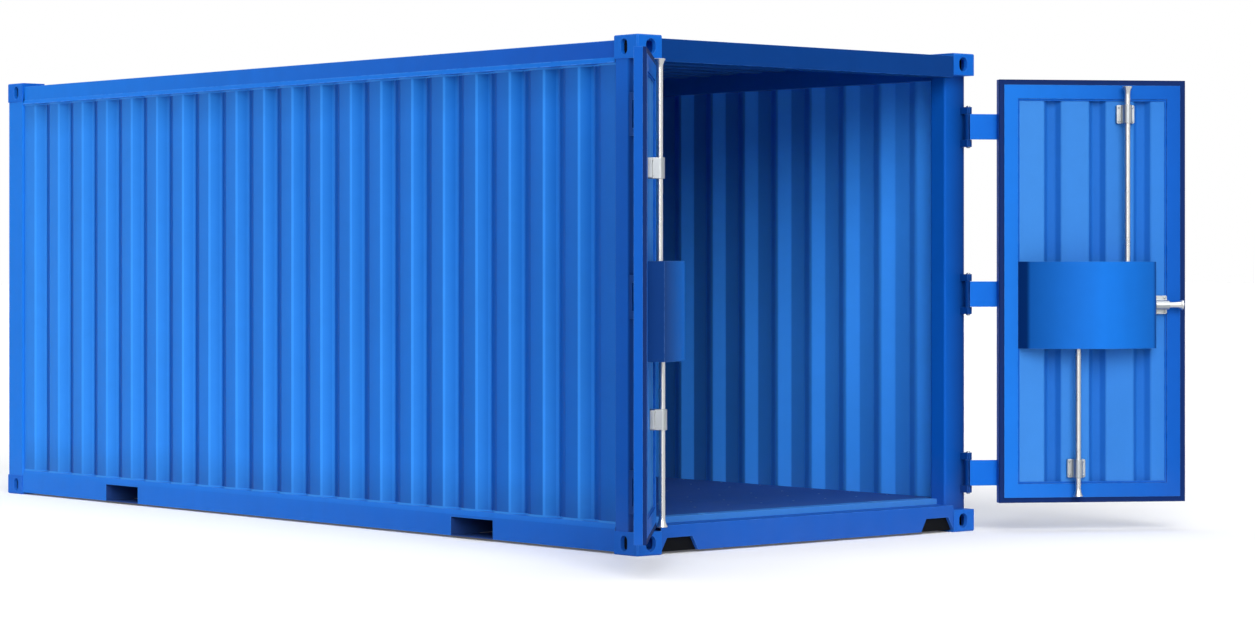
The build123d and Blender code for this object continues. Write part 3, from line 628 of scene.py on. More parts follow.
def shade_values(mesh: Mesh, domain: str) -> bpy.types.bpy_prop_collection:
    """Add the painted-shade attribute to a mesh, 0 all over, and return its values."""
    return mesh.attributes.new(SHADE_ATTRIBUTE, "FLOAT", domain).data


def clamped(value: float) -> float:
    """Hold a value between 0 and 1."""
    return min(max(value, 0.0), 1.0)


def verts_in(items: Iterable[object]) -> list[BMVert]:
    """Pick the vertices out of a bmesh operator's result."""
    return [item for item in items if isinstance(item, BMVert)]


def fold_angle(edge: BMEdge) -> float:
    """Angle between an edge's two faces, in degrees, or 0 at a border."""
    return math.degrees(edge.calc_face_angle(0.0))


def merged_copy(node: str) -> BMesh:
    """Copy a CAD node's triangles, merge them and join the flat ones.

    Args:
        node: Name of the CAD node.

    Returns:
        The merged bmesh.
    """
    work = bmesh.new()
    work.from_mesh(frame["nodes"][node].data)
    bmesh.ops.remove_doubles(work, verts=work.verts, dist=MERGE_DISTANCE)
    bmesh.ops.dissolve_limit(work, angle_limit=FLAT_ANGLE, verts=work.verts, edges=work.edges)
    return work


def bevel(
    work: BMesh, edges: Sequence[BMEdge], width: float, segments: int
) -> list[BMFace]:
    """Round some edges.

    Args:
        work: The bmesh to change.
        edges: Edges to round.
        width: Width of the rounding on each side, in metres.
        segments: Faces across the rounding.

    Returns:
        The faces of the rounding.
    """
    kind = {"offset_type": "OFFSET", "affect": "EDGES", "profile": 0.5, "clamp_overlap": True}
    return bmesh.ops.bevel(work, geom=edges, offset=width, segments=segments, material=-1, **kind)["faces"]


def round_edges(work: BMesh, rule: EdgeRule, width: float, segments: int) -> None:
    """Round the edges that a rule picks, and mark rounded corners, not sheet bends, for wear and a painted
    highlight.

    Args:
        work: The bmesh to change.
        rule: Which fold angles to round.
        width: Width of the rounding on each side, in metres.
        segments: Faces across the rounding.
    """
    low, high = rule.value
    chosen = [edge for edge in work.edges if low < fold_angle(edge) <= high]
    rub = work.faces.layers.float.new(RUB_AND_HIGHLIGHT_ATTRIBUTE)
    if not chosen:
        return
    for face in bevel(work, chosen, width, segments):
        face[rub] = 0.0 if rule is EdgeRule.BENDS else 1.0


def body_of_node(node: str) -> str:
    """Name of the CAD body that a node belongs to."""
    return frame["nodes"][node]["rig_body"]


def turned_profile(profile: Sequence[tuple[float, float]], steps: int) -> BMesh:
    """Spin a profile of (radius, height) pairs about Z.

    Args:
        profile: Points from one pole to the other.
        steps: Faces around the axis.

    Returns:
        Closed bmesh.
    """
    work = bmesh.new()
    points = [work.verts.new((radius, 0.0, height)) for radius, height in profile]
    edges = [work.edges.new(pair) for pair in zip(points, points[1:])]
    turn = {"cent": (0, 0, 0), "axis": (0, 0, 1), "angle": 2 * math.pi, "use_merge": True}
    bmesh.ops.spin(work, geom=points + edges, steps=steps, **turn)
    bmesh.ops.remove_doubles(work, verts=work.verts, dist=MERGE_DISTANCE)
    bmesh.ops.recalc_face_normals(work, faces=work.faces)
    return work


def box_of(points: Iterable[Vector]) -> Box:
    """Lowest and highest corner of the box round some points."""
    axes = list(zip(*points))
    return Vector([min(axis) for axis in axes]), Vector([max(axis) for axis in axes])


def island_boxes(node: str, turn: Matrix = Matrix.Identity(4)) -> list[Box]:
    """Find the boxes of a node's separate solids, measured after a turn.

    Args:
        node: Name of the CAD node.
        turn: Matrix applied to the node's points first.

    Returns:
        One box per solid, in order of their corners.
    """
    work = merged_copy(node)
    left = set(work.verts)
    boxes = []
    while left:
        island = [left.pop()]
        for vert in island:
            for edge in vert.link_edges:
                other = edge.other_vert(vert)
                if other in left:
                    left.remove(other)
                    island.append(other)
        boxes.append(box_of(turn @ vert.co for vert in island))
    work.free()
    return sorted(boxes, key=lambda box: tuple(round(value, 5) for value in (*box[0], *box[1])))


def stamp(target: BMesh, shape: BMesh, place: Matrix) -> None:
    """Add a copy of a small shape to a bmesh.

    Args:
        target: Bmesh that gets the copy.
        shape: Shape to copy.
        place: Where the copy goes.
    """
    mesh = bpy.data.meshes.new("stamp")
    shape.to_mesh(mesh)
    mesh.transform(place)
    target.from_mesh(mesh)
    bpy.data.meshes.remove(mesh)


def seat(place: Sequence[float], up: Sequence[float] = (0, 0, 1)) -> Matrix:
    """Matrix that puts the origin at a place and turns +Z into a direction."""
    return Matrix.Translation(place) @ Vector(up).to_track_quat("Z", "Y").to_matrix().to_4x4()


@dataclass(frozen=True)
class Fastener:
    """Small round or hexagonal head, given by its turned profile."""

    profile: tuple[tuple[float, float], ...]
    steps: int

    def at(self, seats: Iterable[Matrix]) -> BMesh:
        """Set heads, each with its top towards its seat's +Z.

        Args:
            seats: Where the heads go.

        Returns:
            All the heads in one bmesh.
        """
        work = bmesh.new()
        head = turned_profile(self.profile, self.steps)
        for place in seats:
            stamp(work, head, place)
        head.free()
        return work


DOME_SCREW = Fastener(((0.0, 0.0048), (0.003, 0.0046), (0.0055, 0.0034), (0.0068, 0.0016), (0.007, 0.0)), 14)
HEX_BOLT = Fastener(((0.0, 0.0065), (0.0078, 0.0065), (0.0098, 0.0054), (0.0098, 0.0)), 6)
DECK_SCREW = Fastener(((0.0, 0.0010), (0.0045, 0.0010), (0.0062, 0.0)), 8)
PIN_CAP = Fastener(((0.0, 0.0075), (0.006, 0.0070), (0.0105, 0.0045), (0.0125, 0.0012), (0.0125, 0.0)), 18)


# Sub-assemblies


@dataclass
class Assembly:
    """Pieces in shared finishes: dressed copies of CAD nodes, and new small pieces."""

    finishes: Finishes

    def add(self, work: BMesh, name: str, body: str, finish: Finish, soft: bool = False) -> Object:
        """Finish a piece and let it ride on a body.

        Args:
            work: Bmesh in the row frame, freed here.
            name: Name of the piece.
            body: CAD body it moves with.
            finish: Its finish.
            soft: Whether its flats swell softly into their bends, instead of staying even.

        Returns:
            The new piece.
        """
        piece = finish_mesh(work, name, soft)
        piece.data.materials.append(self.finishes.get(finish))
        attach(piece, body)
        log.info("%s: %d faces on %s in %s", name, len(piece.data.polygons), body, finish.name)
        return piece

    def dress(
        self,
        node: str,
        finish: Finish,
        rule: EdgeRule = EdgeRule.ALL,
        width: float = 0.004,
        segments: int = 3,
        soft: bool = False,
    ) -> Mesh:
        """Replace a CAD node by its rounded copy.

        Args:
            node: Name of the CAD node.
            finish: Its finish.
            rule: Which edges are rounded.
            width: Width of the rounding on each side, in metres.
            segments: Faces across the rounding.
            soft: As for a new piece.

        Returns:
            Mesh of the rounded piece.
        """
        work = merged_copy(node)
        round_edges(work, rule, width, segments)
        piece = self.add(work, node + "_piece", body_of_node(node), finish, soft)
        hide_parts(node)
        return piece.data


@dataclass
class Shell(Assembly):
    """Corrugated walls and pressed roof, with the welds along the walls."""

    bend: float = 0.009
    roof_bend: float = 0.007
    flat_facing: float = 0.985
    # Shares of the deep colour, painted shade, on the sheets: ridges left without it are a painted highlight,
    # and the inside and the roof's underside are darkened as painted shade
    far_shade: float = 0.46
    near_shade: float = 0.96
    flat_fade: float = 0.15
    slope_shade: float = 0.44
    slope_fade: float = 0.4
    away_shade: float = 1.0
    head_shade: float = 0.35
    bright_rise: float = 0.35
    least_lean: float = 0.06
    ridge_depth: float = 0.14
    dim_from: float = 0.4
    dim_to: float = 2.9
    deep_shade: float = 0.15
    doorway_shade: float = 0.0
    deep_flat_shade: float = 0.57
    doorway_flat_shade: float = 0.1
    foot_shade: float = 0.15
    ceiling_shade: float = 0.8
    weld_reach: float = 0.0036
    weld_rise: float = 0.009
    weld_lean: float = 0.05
    outer_facing: float = 0.1

    def build(self) -> None:
        """Dress the sheets and weld them in."""
        coat = self.finishes.coat
        outward = {"left_wall": (0, -1, 0), "right_wall": (0, 1, 0), "front_wall": (-1, 0, 0)}
        for node, direction in outward.items():
            sheet = self.dress(node, coat, EdgeRule.BENDS, self.bend, soft=True)
            self.painted_shade(sheet, Vector(direction))
            self.weld(node, Vector(direction))
        roof = self.dress("roof", coat, EdgeRule.BENDS, self.roof_bend, 2)
        self.painted_shade(roof, Vector((0, 0, 1)), self.ceiling_shade)

    def painted_shade(self, mesh: Mesh, outward: Vector, inside: float = 0.0) -> None:
        """Give a sheet its inside coat, and mark the painted shade on both faces.

        Outside, the flats get more of it towards the door end, and the ridges are left light as a painted
        highlight. Inside, the flats get most of it, and it grows towards the foot and with the distance from
        the doorway.

        Args:
            mesh: Mesh of the dressed sheet.
            outward: Direction out of the container.
            inside: Least painted shade on the inside.
        """
        mesh.materials.append(self.finishes.get(self.finishes.inside_shaded_coat))
        shade = shade_values(mesh, "CORNER")
        run = Vector((0, 1, 0)) if outward.x else Vector((1, 0, 0))
        reach = [vertex.co.dot(outward) for vertex in mesh.vertices]
        depth = max(reach) - min(reach)
        for face in mesh.polygons:
            facing = face.normal.dot(outward)
            face.material_index = 1 if facing < 0 else 0
            sunk = (max(reach) - face.center.dot(outward)) / depth
            places = [mesh.vertices[index].co for index in face.vertices]
            spans = [place.dot(run) for place in places]
            width = max(max(spans) - min(spans), MERGE_DISTANCE)
            for corner, place, span in zip(face.loop_indices, places, spans):
                across = (span - min(spans)) / width
                if facing < 0:
                    painted_shade = max(inside, self.inside_shade(place, facing))
                else:
                    painted_shade = self.outside_shade(place, across, face.normal.dot(run), sunk)
                shade[corner].value = clamped(painted_shade)

    def inside_shade(self, place: Vector, facing: float) -> float:
        """Painted shade on the inside of a sheet.

        Args:
            place: A point of the sheet.
            facing: How squarely the face looks into the container, -1 for a flat.

        Returns:
            Share of the deep colour, before it is held between 0 and 1.
        """
        share = clamped((place.x - self.dim_from) / (self.dim_to - self.dim_from))
        deep, doorway = self.deep_shade, self.doorway_shade
        if facing < -self.flat_facing:
            deep, doorway = self.deep_flat_shade, self.doorway_flat_shade
        rise = 2 * place.z / CAD_BOX[1].z - 1
        return deep + (doorway - deep) * share - self.foot_shade * rise

    def outside_shade(self, place: Vector, across: float, lean: float, sunk: float) -> float:
        """Painted shade on the outside of a sheet: none on the ridges, which leaves a painted highlight, most
        on the slopes that look away.

        Args:
            place: A point of the sheet.
            across: Share of the face's own width, counted along the sheet's run.
            lean: How far the face looks along the sheet's run.
            sunk: Depth of the face's middle, 0 at the outermost flats and 1 in the valleys.

        Returns:
            Share of the deep colour, before it is held between 0 and 1.
        """
        if lean < -self.least_lean:
            return self.away_shade
        low, high = CAD_BOX
        share = (place.x - low.x) / (high.x - low.x)
        painted_shade = self.far_shade + (self.near_shade - self.far_shade) * share
        if lean > self.least_lean:
            held = 0.0 if sunk < self.ridge_depth else painted_shade * (self.slope_shade + self.slope_fade * across)
            return held + self.head_shade * painted_shade * (place.z / high.z - self.bright_rise)
        return painted_shade * (1 - self.flat_fade * across)

    def weld(self, node: str, outward: Vector) -> None:
        """Lay a fillet weld along the head and foot of a wall's outer face.

        Args:
            node: Name of the wall's CAD node.
            outward: Direction out of the container.
        """
        low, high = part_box(node)
        work = merged_copy(node)
        for level, inward in ((low.z, self.weld_rise), (high.z, -self.weld_rise)):
            rim = [edge for edge in work.edges if self.is_outer_rim(edge, level, outward)]
            made = bmesh.ops.duplicate(work, geom=rim)["geom"]
            loop = [item for item in made if isinstance(item, BMEdge)]
            foot = verts_in(made)
            strip = bmesh.ops.extrude_edge_only(work, edges=loop)["geom"]
            bmesh.ops.translate(work, verts=foot, vec=outward * self.weld_reach)
            bmesh.ops.translate(work, verts=verts_in(strip), vec=(0, 0, inward))
        sheet = [face for face in work.faces if not self.is_fillet(face, outward)]
        bmesh.ops.delete(work, geom=sheet, context="FACES")
        for face in work.faces:
            if face.normal.dot(outward) < 0:
                face.normal_flip()
        self.add(work, node + "_welds", CONTAINER, self.finishes.coat)

    def is_fillet(self, face: BMFace, outward: Vector) -> bool:
        """Whether a face leans both outwards and up or down, as only a weld's faces do."""
        return min(abs(face.normal.z), abs(face.normal.dot(outward))) > self.weld_lean

    def is_outer_rim(self, edge: BMEdge, level: float, outward: Vector) -> bool:
        """Whether an edge lies at a level on the sheet's outer face."""
        outer = any(face.normal.dot(outward) > self.outer_facing for face in edge.link_faces)
        return outer and all(abs(vert.co.z - level) <= MERGE_DISTANCE for vert in edge.verts)


@dataclass
class Skeleton(Assembly):
    """Posts, rails, headers, sills and castings, with the hinge lugs on the posts."""

    pairs: tuple[str, ...] = ("door_post", "front_post", "top_rail", "bottom_rail")
    singles: tuple[str, ...] = ("door_header", "door_sill", "threshold", "front_header", "front_sill")
    lugs: str = "hinge_lugs"
    edge: float = 0.004
    casting_height: float = 0.118
    casting_face: float = 0.026
    slot_from_end: float = 0.1025
    shade_liner_size: tuple[float, float, float] = (0.058, 0.003, 0.074)
    notch_width: float = 0.250
    notch_height: float = 0.070
    notch_slope: float = 0.040
    notch_shade_liner_depth: float = 0.022
    # Painted shade on the door posts and the rails
    post_shade: float = 0.85
    top_rail_shade: float = 1.0
    bottom_rail_shade: float = 0.6
    lip_share: float = 0.3
    lip_range: tuple[float, float] = (0.1, 0.95)

    def build(self) -> None:
        """Dress the members and castings."""
        store = self.finishes
        # The door header and the hinge lugs take the dark copy of the paint, painted shade
        coats = {"door_header": store.shaded_end_coat, self.lugs: store.shaded_end_coat, "threshold": store.panel_coat}
        coats |= {kind: store.rail_coat for kind in ("front_post", "top_rail", "bottom_rail")}
        paired = [*itertools.product(self.pairs, SIDES)]
        members = [*paired, *((kind, "") for kind in self.singles), *((self.lugs, side) for side in SIDES)]
        for kind, side in members:
            rule = EdgeRule.CORNERS if "post" in kind or kind == self.lugs else EdgeRule.ALL
            node = f"{kind}_{side}" if side else kind
            mesh = self.dress(node, coats.get(kind, store.frame_coat), rule, self.edge)
            if kind == "door_post":
                self.painted_shade(mesh)
            elif kind == "top_rail":
                self.rail_shade(mesh, self.top_rail_shade)
            elif kind == "bottom_rail":
                self.rail_shade(mesh, self.bottom_rail_shade)
        self.pin_caps()
        self.slot_shade_liners()
        self.notch_shade_liners()
        for node in ("top_castings", "bottom_castings"):
            self.dress(node, store.cast_coat, EdgeRule.ALL, self.edge, 2)

    def painted_shade(self, mesh: Mesh) -> None:
        """Mark a door post's end face with painted shade that grows towards the hinges at its outer side.

        Args:
            mesh: Mesh of the dressed post.
        """
        reach = [abs(vertex.co.y) for vertex in mesh.vertices]
        start, width = min(reach), max(reach) - min(reach)
        shade = shade_values(mesh, "CORNER")
        for face in mesh.polygons:
            for corner, index in zip(face.loop_indices, face.vertices):
                share = (reach[index] - start) / width
                shade[corner].value = self.post_shade * share * max(0.0, face.normal.x)

    def rail_shade(self, mesh: Mesh, amount: float) -> None:
        """Mark a rail with painted shade that grows towards the door end, and is weaker on its sloped lip.

        Args:
            mesh: Mesh of the dressed rail.
            amount: Painted shade at the door end.
        """
        stations = [vertex.co.x for vertex in mesh.vertices]
        start, length = min(stations), max(stations) - min(stations)
        shade = shade_values(mesh, "CORNER")
        for face in mesh.polygons:
            lip = self.lip_range[0] < abs(face.normal.z) < self.lip_range[1]
            held = amount * (self.lip_share if lip else 1.0)
            for corner, index in zip(face.loop_indices, face.vertices):
                shade[corner].value = held * (stations[index] - start) / length

    def slot_shade_liners(self) -> None:
        """Set a dark plate behind the side slot of each casting, painted shade where light would show
        through.
        """
        thickness = self.shade_liner_size[1]
        shade_liner = bmesh.new()
        bmesh.ops.create_cube(shade_liner, size=1.0)
        bmesh.ops.scale(shade_liner, vec=self.shade_liner_size, verts=shade_liner.verts)
        bevel(shade_liner, shade_liner.edges, thickness / 3, 1)
        low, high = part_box("top_castings")
        lengths = (low.x + self.slot_from_end, high.x - self.slot_from_end)
        inset = self.casting_face + thickness / 2
        widths = (low.y + inset, high.y - inset)
        levels = (CAD_BOX[0].z + self.casting_height / 2, CAD_BOX[1].z - self.casting_height / 2)
        work = bmesh.new()
        for place in itertools.product(lengths, widths, levels):
            stamp(work, shade_liner, Matrix.Translation(place))
        shade_liner.free()
        self.add(work, "casting_slot_shade_liners", CONTAINER, self.finishes.shade_liner)

    def notch_shade_liners(self) -> None:
        """Close the two notches of the sill with a dark plate behind its face, painted shade in the notches.
        """
        low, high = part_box("door_sill")
        taper = 1 - 2 * self.notch_slope / self.notch_width
        work = bmesh.new()
        for side, edge in ((-1, low.y), (1, high.y)):
            made = bmesh.ops.create_grid(work, x_segments=1, y_segments=1, size=0.5)["verts"]
            bmesh.ops.scale(work, vec=(self.notch_height, self.notch_width, 1.0), verts=made)
            bmesh.ops.rotate(work, verts=made, cent=(0, 0, 0), matrix=Matrix.Rotation(-math.pi / 2, 3, "Y"))
            top = [vert for vert in made if vert.co.z > 0]
            bmesh.ops.scale(work, vec=(1.0, taper, 1.0), verts=top)
            station = edge - side * self.notch_width / 2
            middle = (high.x - self.notch_shade_liner_depth, station, low.z + self.notch_height / 2)
            bmesh.ops.translate(work, verts=made, vec=middle)
        grown = bmesh.ops.extrude_face_region(work, geom=list(work.faces))["geom"]
        bmesh.ops.translate(work, verts=verts_in(grown), vec=(-self.shade_liner_size[1], 0, 0))
        bmesh.ops.recalc_face_normals(work, faces=work.faces)
        self.add(work, "sill_notch_shade_liners", CONTAINER, self.finishes.shade_liner)

    def pin_caps(self) -> None:
        """Put a peened cap on both ends of each hinge pin."""
        for side in SIDES:
            pin = Swing.of_joint(side + "_door_swing").origin
            seats = []
            for low, high in island_boxes(f"{self.lugs}_{side}"):
                seats += [seat((pin.x, pin.y, high.z)), seat((pin.x, pin.y, low.z), (0, 0, -1))]
            name = f"hinge_pin_caps_{side}"
            self.add(PIN_CAP.at(seats), name, CONTAINER, self.finishes.guide_steel)


@dataclass
class Base(Assembly):
    """Floor boards, cross members and fork pockets."""

    board_edge: float = 0.0025
    screw_inset: float = 0.06
    screws_per_row: int = 10
    strap_length: float = 0.2
    sole_size: tuple[float, float, float] = (0.36, 0.5, 0.004)

    def build(self) -> None:
        """Dress the base."""
        store = self.finishes
        self.dress("floor_panels", store.deck_coat, EdgeRule.CORNERS, self.board_edge, 2)
        # The fork pockets take the dark copy of the paint, painted shade
        for node, finish in (("cross_members", store.frame_coat), ("fork_pockets", store.shaded_end_coat)):
            self.dress(node, finish, EdgeRule.NONE)
        self.pocket_shade_soles()
        self.deck_screws()

    def pocket_shade_soles(self) -> None:
        """Carry the floor of each fork pocket on behind the strap at its mouth, a dark plate that paints
        shade inside the pocket.
        """
        _, length, thickness = self.sole_size
        work = bmesh.new()
        for low, high in island_boxes("fork_pockets"):
            for side, mouth in ((-1, low.y), (1, high.y)):
                made = bmesh.ops.create_cube(work, size=1.0)["verts"]
                bmesh.ops.scale(work, vec=self.sole_size, verts=made)
                station = mouth - side * (self.strap_length + length / 2)
                middle = ((low.x + high.x) / 2, station, low.z + thickness / 2)
                bmesh.ops.translate(work, verts=made, vec=middle)
        self.add(work, "pocket_shade_soles", CONTAINER, self.finishes.shaded_end_coat)

    def deck_screws(self) -> None:
        """Screw the boards down in a row over each cross member."""
        low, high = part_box("floor_panels")
        middle = (low.y + high.y) / 2
        reach = (high.y - low.y) / 2 - self.screw_inset
        seats = []
        for member in island_boxes("cross_members"):
            station = (member[0].x + member[1].x) / 2
            if not low.x + self.screw_inset < station < high.x - self.screw_inset:
                continue
            for step in range(self.screws_per_row):
                share = 2 * step / (self.screws_per_row - 1) - 1
                seats.append(seat((station, middle + share * reach, high.z)))
        self.add(DECK_SCREW.at(seats), "deck_screws", CONTAINER, self.finishes.guide_steel)


@dataclass(frozen=True)
class Swing:
    """Hinge of a door, with the turn from the closed door to the modelled pose."""

    origin: Vector
    axis: Vector
    open_angle: float

    @classmethod
    def of_joint(cls, name: str) -> "Swing":
        """Read a hinge from the frame.

        Args:
            name: Name of the hinge joint, whose lower limit is the closed door.

        Returns:
            The hinge.
        """
        joint = next(joint for joint in frame["joints"] if joint["name"] == name)
        return cls(Vector(joint["pos_m"]), Vector(joint["axis"]), math.radians(-joint["range_deg"][0]))

    def opened(self) -> Matrix:
        """Matrix from the closed door to the modelled pose."""
        turn = Matrix.Rotation(self.open_angle, 4, self.axis)
        return Matrix.Translation(self.origin) @ turn @ Matrix.Translation(-self.origin)


@dataclass(frozen=True)
class BoltShape:
    """Round bolt with a trumpet head."""

    radius: float = 0.016
    head_radius: float = 0.028
    head_length: float = 0.048
    rim: float = 0.005
    rim_round: float = 0.3
    dish_depth: float = 0.6
    dish_floor: float = 0.7
    dish_mouth: float = 0.86
    tail_round: float = 0.003
    flare_power: float = 2.4
    flare_steps: int = 7
    sides: int = 36

    def shape(self, length: float) -> BMesh:
        """Turn the bolt with the middle of its head's face at the origin and its shank towards -Z.

        Args:
            length: Whole length of the bolt.

        Returns:
            The turned bolt.
        """
        dish = self.rim * self.dish_depth
        profile = [(0.0, -dish), (self.radius * self.dish_floor, -dish)]
        profile += [(self.head_radius * self.dish_mouth, 0.0), (self.head_radius, -self.rim * self.rim_round)]
        profile.append((self.head_radius, -self.rim))
        flare = self.head_radius - self.radius
        for step in range(1, self.flare_steps + 1):
            share = step / self.flare_steps
            drop = self.rim + (self.head_length - self.rim) * share
            profile.append((self.radius + flare * (1 - share) ** self.flare_power, -drop))
        profile.append((self.radius, self.tail_round - length))
        profile += [(self.radius - self.tail_round, -length), (0.0, -length)]
        return turned_profile(profile, self.sides)


@dataclass
class Leaf(Assembly):
    """One door leaf with its seal, hinges, lock cover, guides and bolts."""

    side: str
    bolts: tuple[str, ...]
    bolt_shape: BoltShape = BoltShape()
    fitting_edge: float = 0.002
    frame_edge: float = 0.005
    panel_bend: float = 0.008
    guide_pad: float = 0.024
    screw_inset: float = 0.0125
    seal_facing: float = 0.99
    seal_lip: float = 0.007
    seal_groove: float = 0.004
    bead_width: float = 0.011
    bead_rise: float = 0.006
    bead_edge: float = 0.0025
    strap_thickness: float = 0.014
    strap_bolt_inset: float = 0.032
    groove_from: float = 0.006
    # Painted shade on the leaf's panel, frame, straps and lock cover
    groove_shade: float = 0.8
    flat_shade: float = 0.42
    edge_facing: float = 0.3
    edge_shade: float = 0.85
    stile_shade: float = 0.9
    knuckle_reach: float = 0.03
    ramp_share: float = 0.06
    crown_share: float = 0.58
    ramp_shade: float = 0.9
    hinge_shade: float = 0.5
    free_shade: float = 0.42
    end_share: float = 0.9985
    end_shade: float = 0.85

    def __post_init__(self) -> None:
        """Find the leaf's hinge and its turn from the closed door."""
        swing = Swing.of_joint(self.side + "_door_swing")
        self.pin = swing.origin
        self.opened = swing.opened()
        self.closed = self.opened.inverted()
        self.inward = (self.opened.to_3x3() @ Vector((-1, 0, 0))).normalized()
        self.body = self.side + "_door"

    def build(self) -> None:
        """Dress the leaf's nodes and add its small pieces."""
        for name in ("rod_guides", "door_handle"):
            self.fitting(name, self.finishes.guide_steel)
        self.straps()
        self.stiles()
        self.panel()
        self.cover()
        self.seal()
        self.sealant_bead()
        self.guide_screws()
        self.strap_bolts()
        for bolt in self.bolts:
            self.bolt(bolt)

    def node(self, name: str) -> str:
        """Full name of one of this leaf's nodes."""
        return f"{self.side}_{name}"

    def fitting(self, name: str, finish: Finish) -> Mesh:
        """Dress one of the leaf's fittings and return its mesh."""
        return self.dress(self.node(name), finish, EdgeRule.CORNERS, self.fitting_edge, 2)

    def closed_box(self, name: str) -> Box:
        """Box of one of this leaf's nodes with the door closed."""
        vertices = frame["nodes"][self.node(name)].data.vertices
        return box_of(self.closed @ vertex.co for vertex in vertices)

    def hinge_share(self, name: str, place: Vector) -> float:
        """Share of a node's width at a point, 0 at the hinge side and 1 at the free side.

        Args:
            name: Name of the node without the leaf's side.
            place: A point of the node in the modelled pose.

        Returns:
            The share.
        """
        low, high = self.closed_box(name)
        hinge, free = (high.y, low.y) if self.side == "right" else (low.y, high.y)
        return ((self.closed @ place).y - hinge) / (free - hinge)

    def straps(self) -> None:
        """Dress the hinge straps and paint shade on their knuckles."""
        mesh = self.fitting("door_hinges", self.finishes.strap_coat)
        shade = shade_values(mesh, "FACE")
        for face in mesh.polygons:
            if (face.center - self.pin).xy.length < self.knuckle_reach:
                shade[face.index].value = 1.0

    def stiles(self) -> None:
        """Dress the leaf's frame and paint shade on its edges, and on its inner face growing towards its free
        side.
        """
        mesh = self.dress(self.node("door_frame"), self.finishes.door_coat, EdgeRule.CORNERS, self.frame_edge)
        shares = [self.hinge_share("door_frame", vertex.co) for vertex in mesh.vertices]
        shade = shade_values(mesh, "CORNER")
        for face in mesh.polygons:
            facing = face.normal.dot(self.inward)
            for corner, index in zip(face.loop_indices, face.vertices):
                if abs(facing) < self.edge_facing:
                    shade[corner].value = self.edge_shade
                elif facing > 0:
                    shade[corner].value = self.stile_shade * shares[index]

    def panel(self) -> None:
        """Dress the sunk panel and paint shade in its grooves, and on its flats growing towards its free
        side.
        """
        mesh = self.dress(self.node("door_panel"), self.finishes.panel_coat, EdgeRule.BENDS, self.panel_bend)
        flat_plane = self.closed_box("door_panel")[0].x
        shade = shade_values(mesh, "FACE")
        for face in mesh.polygons:
            sunk = (self.closed @ face.center).x - flat_plane
            if sunk > self.groove_from:
                shade[face.index].value = self.groove_shade
            elif face.normal.dot(self.inward) > 0:
                shade[face.index].value = self.flat_shade * self.hinge_share("door_panel", face.center)

    def cover(self) -> None:
        """Dress the lock cover and paint shade on it, growing from the crown down to both sides."""
        mesh = self.fitting("lock_box", self.finishes.cover_coat)
        shade = shade_values(mesh, "POINT")
        for vertex in mesh.vertices:
            shade[vertex.index].value = self.cover_shade(self.hinge_share("lock_box", vertex.co))

    def cover_shade(self, share: float) -> float:
        """Painted shade on the lock cover at a share of its width, counted from the hinge side.

        Args:
            share: 0 at the foot of the ramp and 1 at the free end.

        Returns:
            How much of the deep colour shows there.
        """
        if share < self.ramp_share:
            return self.ramp_shade
        if share > self.end_share:
            return self.end_shade
        if share < self.crown_share:
            return self.hinge_shade * (self.crown_share - share) / (self.crown_share - self.ramp_share)
        return self.free_shade * (share - self.crown_share) / (1 - self.crown_share)

    def seal(self) -> None:
        """Press a groove into the seal's inner face, which leaves two lips, and round it."""
        node = self.node("door_gasket")
        work = merged_copy(node)
        inner = [face for face in work.faces if face.normal.dot(self.inward) > self.seal_facing]
        bmesh.ops.inset_region(
            work, faces=inner, thickness=self.seal_lip, depth=-self.seal_groove, use_even_offset=True
        )
        round_edges(work, EdgeRule.CORNERS, self.fitting_edge, 2)
        piece = self.add(work, node + "_piece", self.body, self.finishes.seal)
        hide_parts(node)

    def sealant_bead(self) -> None:
        """Run a bead of sealant round the sunk panel, against the frame."""
        low, high = self.closed_box("door_panel")
        work = bmesh.new()
        bmesh.ops.create_grid(work, x_segments=1, y_segments=1, size=0.5)
        spread = Matrix.Diagonal((high.z - low.z, high.y - low.y, 1.0, 1.0))
        face_in = Matrix.Rotation(-math.pi / 2, 4, "Y")
        middle = Matrix.Translation((low.x, (low.y + high.y) / 2, (low.z + high.z) / 2))
        bmesh.ops.transform(work, matrix=self.opened @ middle @ face_in @ spread, verts=work.verts)
        sheet = list(work.faces)
        bmesh.ops.inset_region(
            work, faces=sheet, thickness=self.bead_width, use_even_offset=True, use_boundary=True
        )
        bmesh.ops.delete(work, geom=sheet, context="FACES_ONLY")
        raised = bmesh.ops.extrude_face_region(work, geom=list(work.faces))["geom"]
        bmesh.ops.translate(work, verts=verts_in(raised), vec=self.inward * self.bead_rise)
        bmesh.ops.recalc_face_normals(work, faces=work.faces)
        round_edges(work, EdgeRule.CORNERS, self.bead_edge, 2)
        self.add(work, self.node("sealant_bead"), self.body, self.finishes.frame_coat)

    def guide_screws(self) -> None:
        """Put a dome screw in each corner of the guide plates."""
        inset = self.screw_inset
        places = []
        for low, high in island_boxes(self.node("rod_guides"), self.closed):
            rows = (low.y + inset, high.y - inset), (low.z + inset, high.z - inset)
            places += itertools.product((high.x - self.guide_pad,), *rows)
        work = DOME_SCREW.at(self.opened @ seat(place, (-1, 0, 0)) for place in places)
        self.add(work, self.node("guide_screws"), self.body, self.finishes.guide_steel)

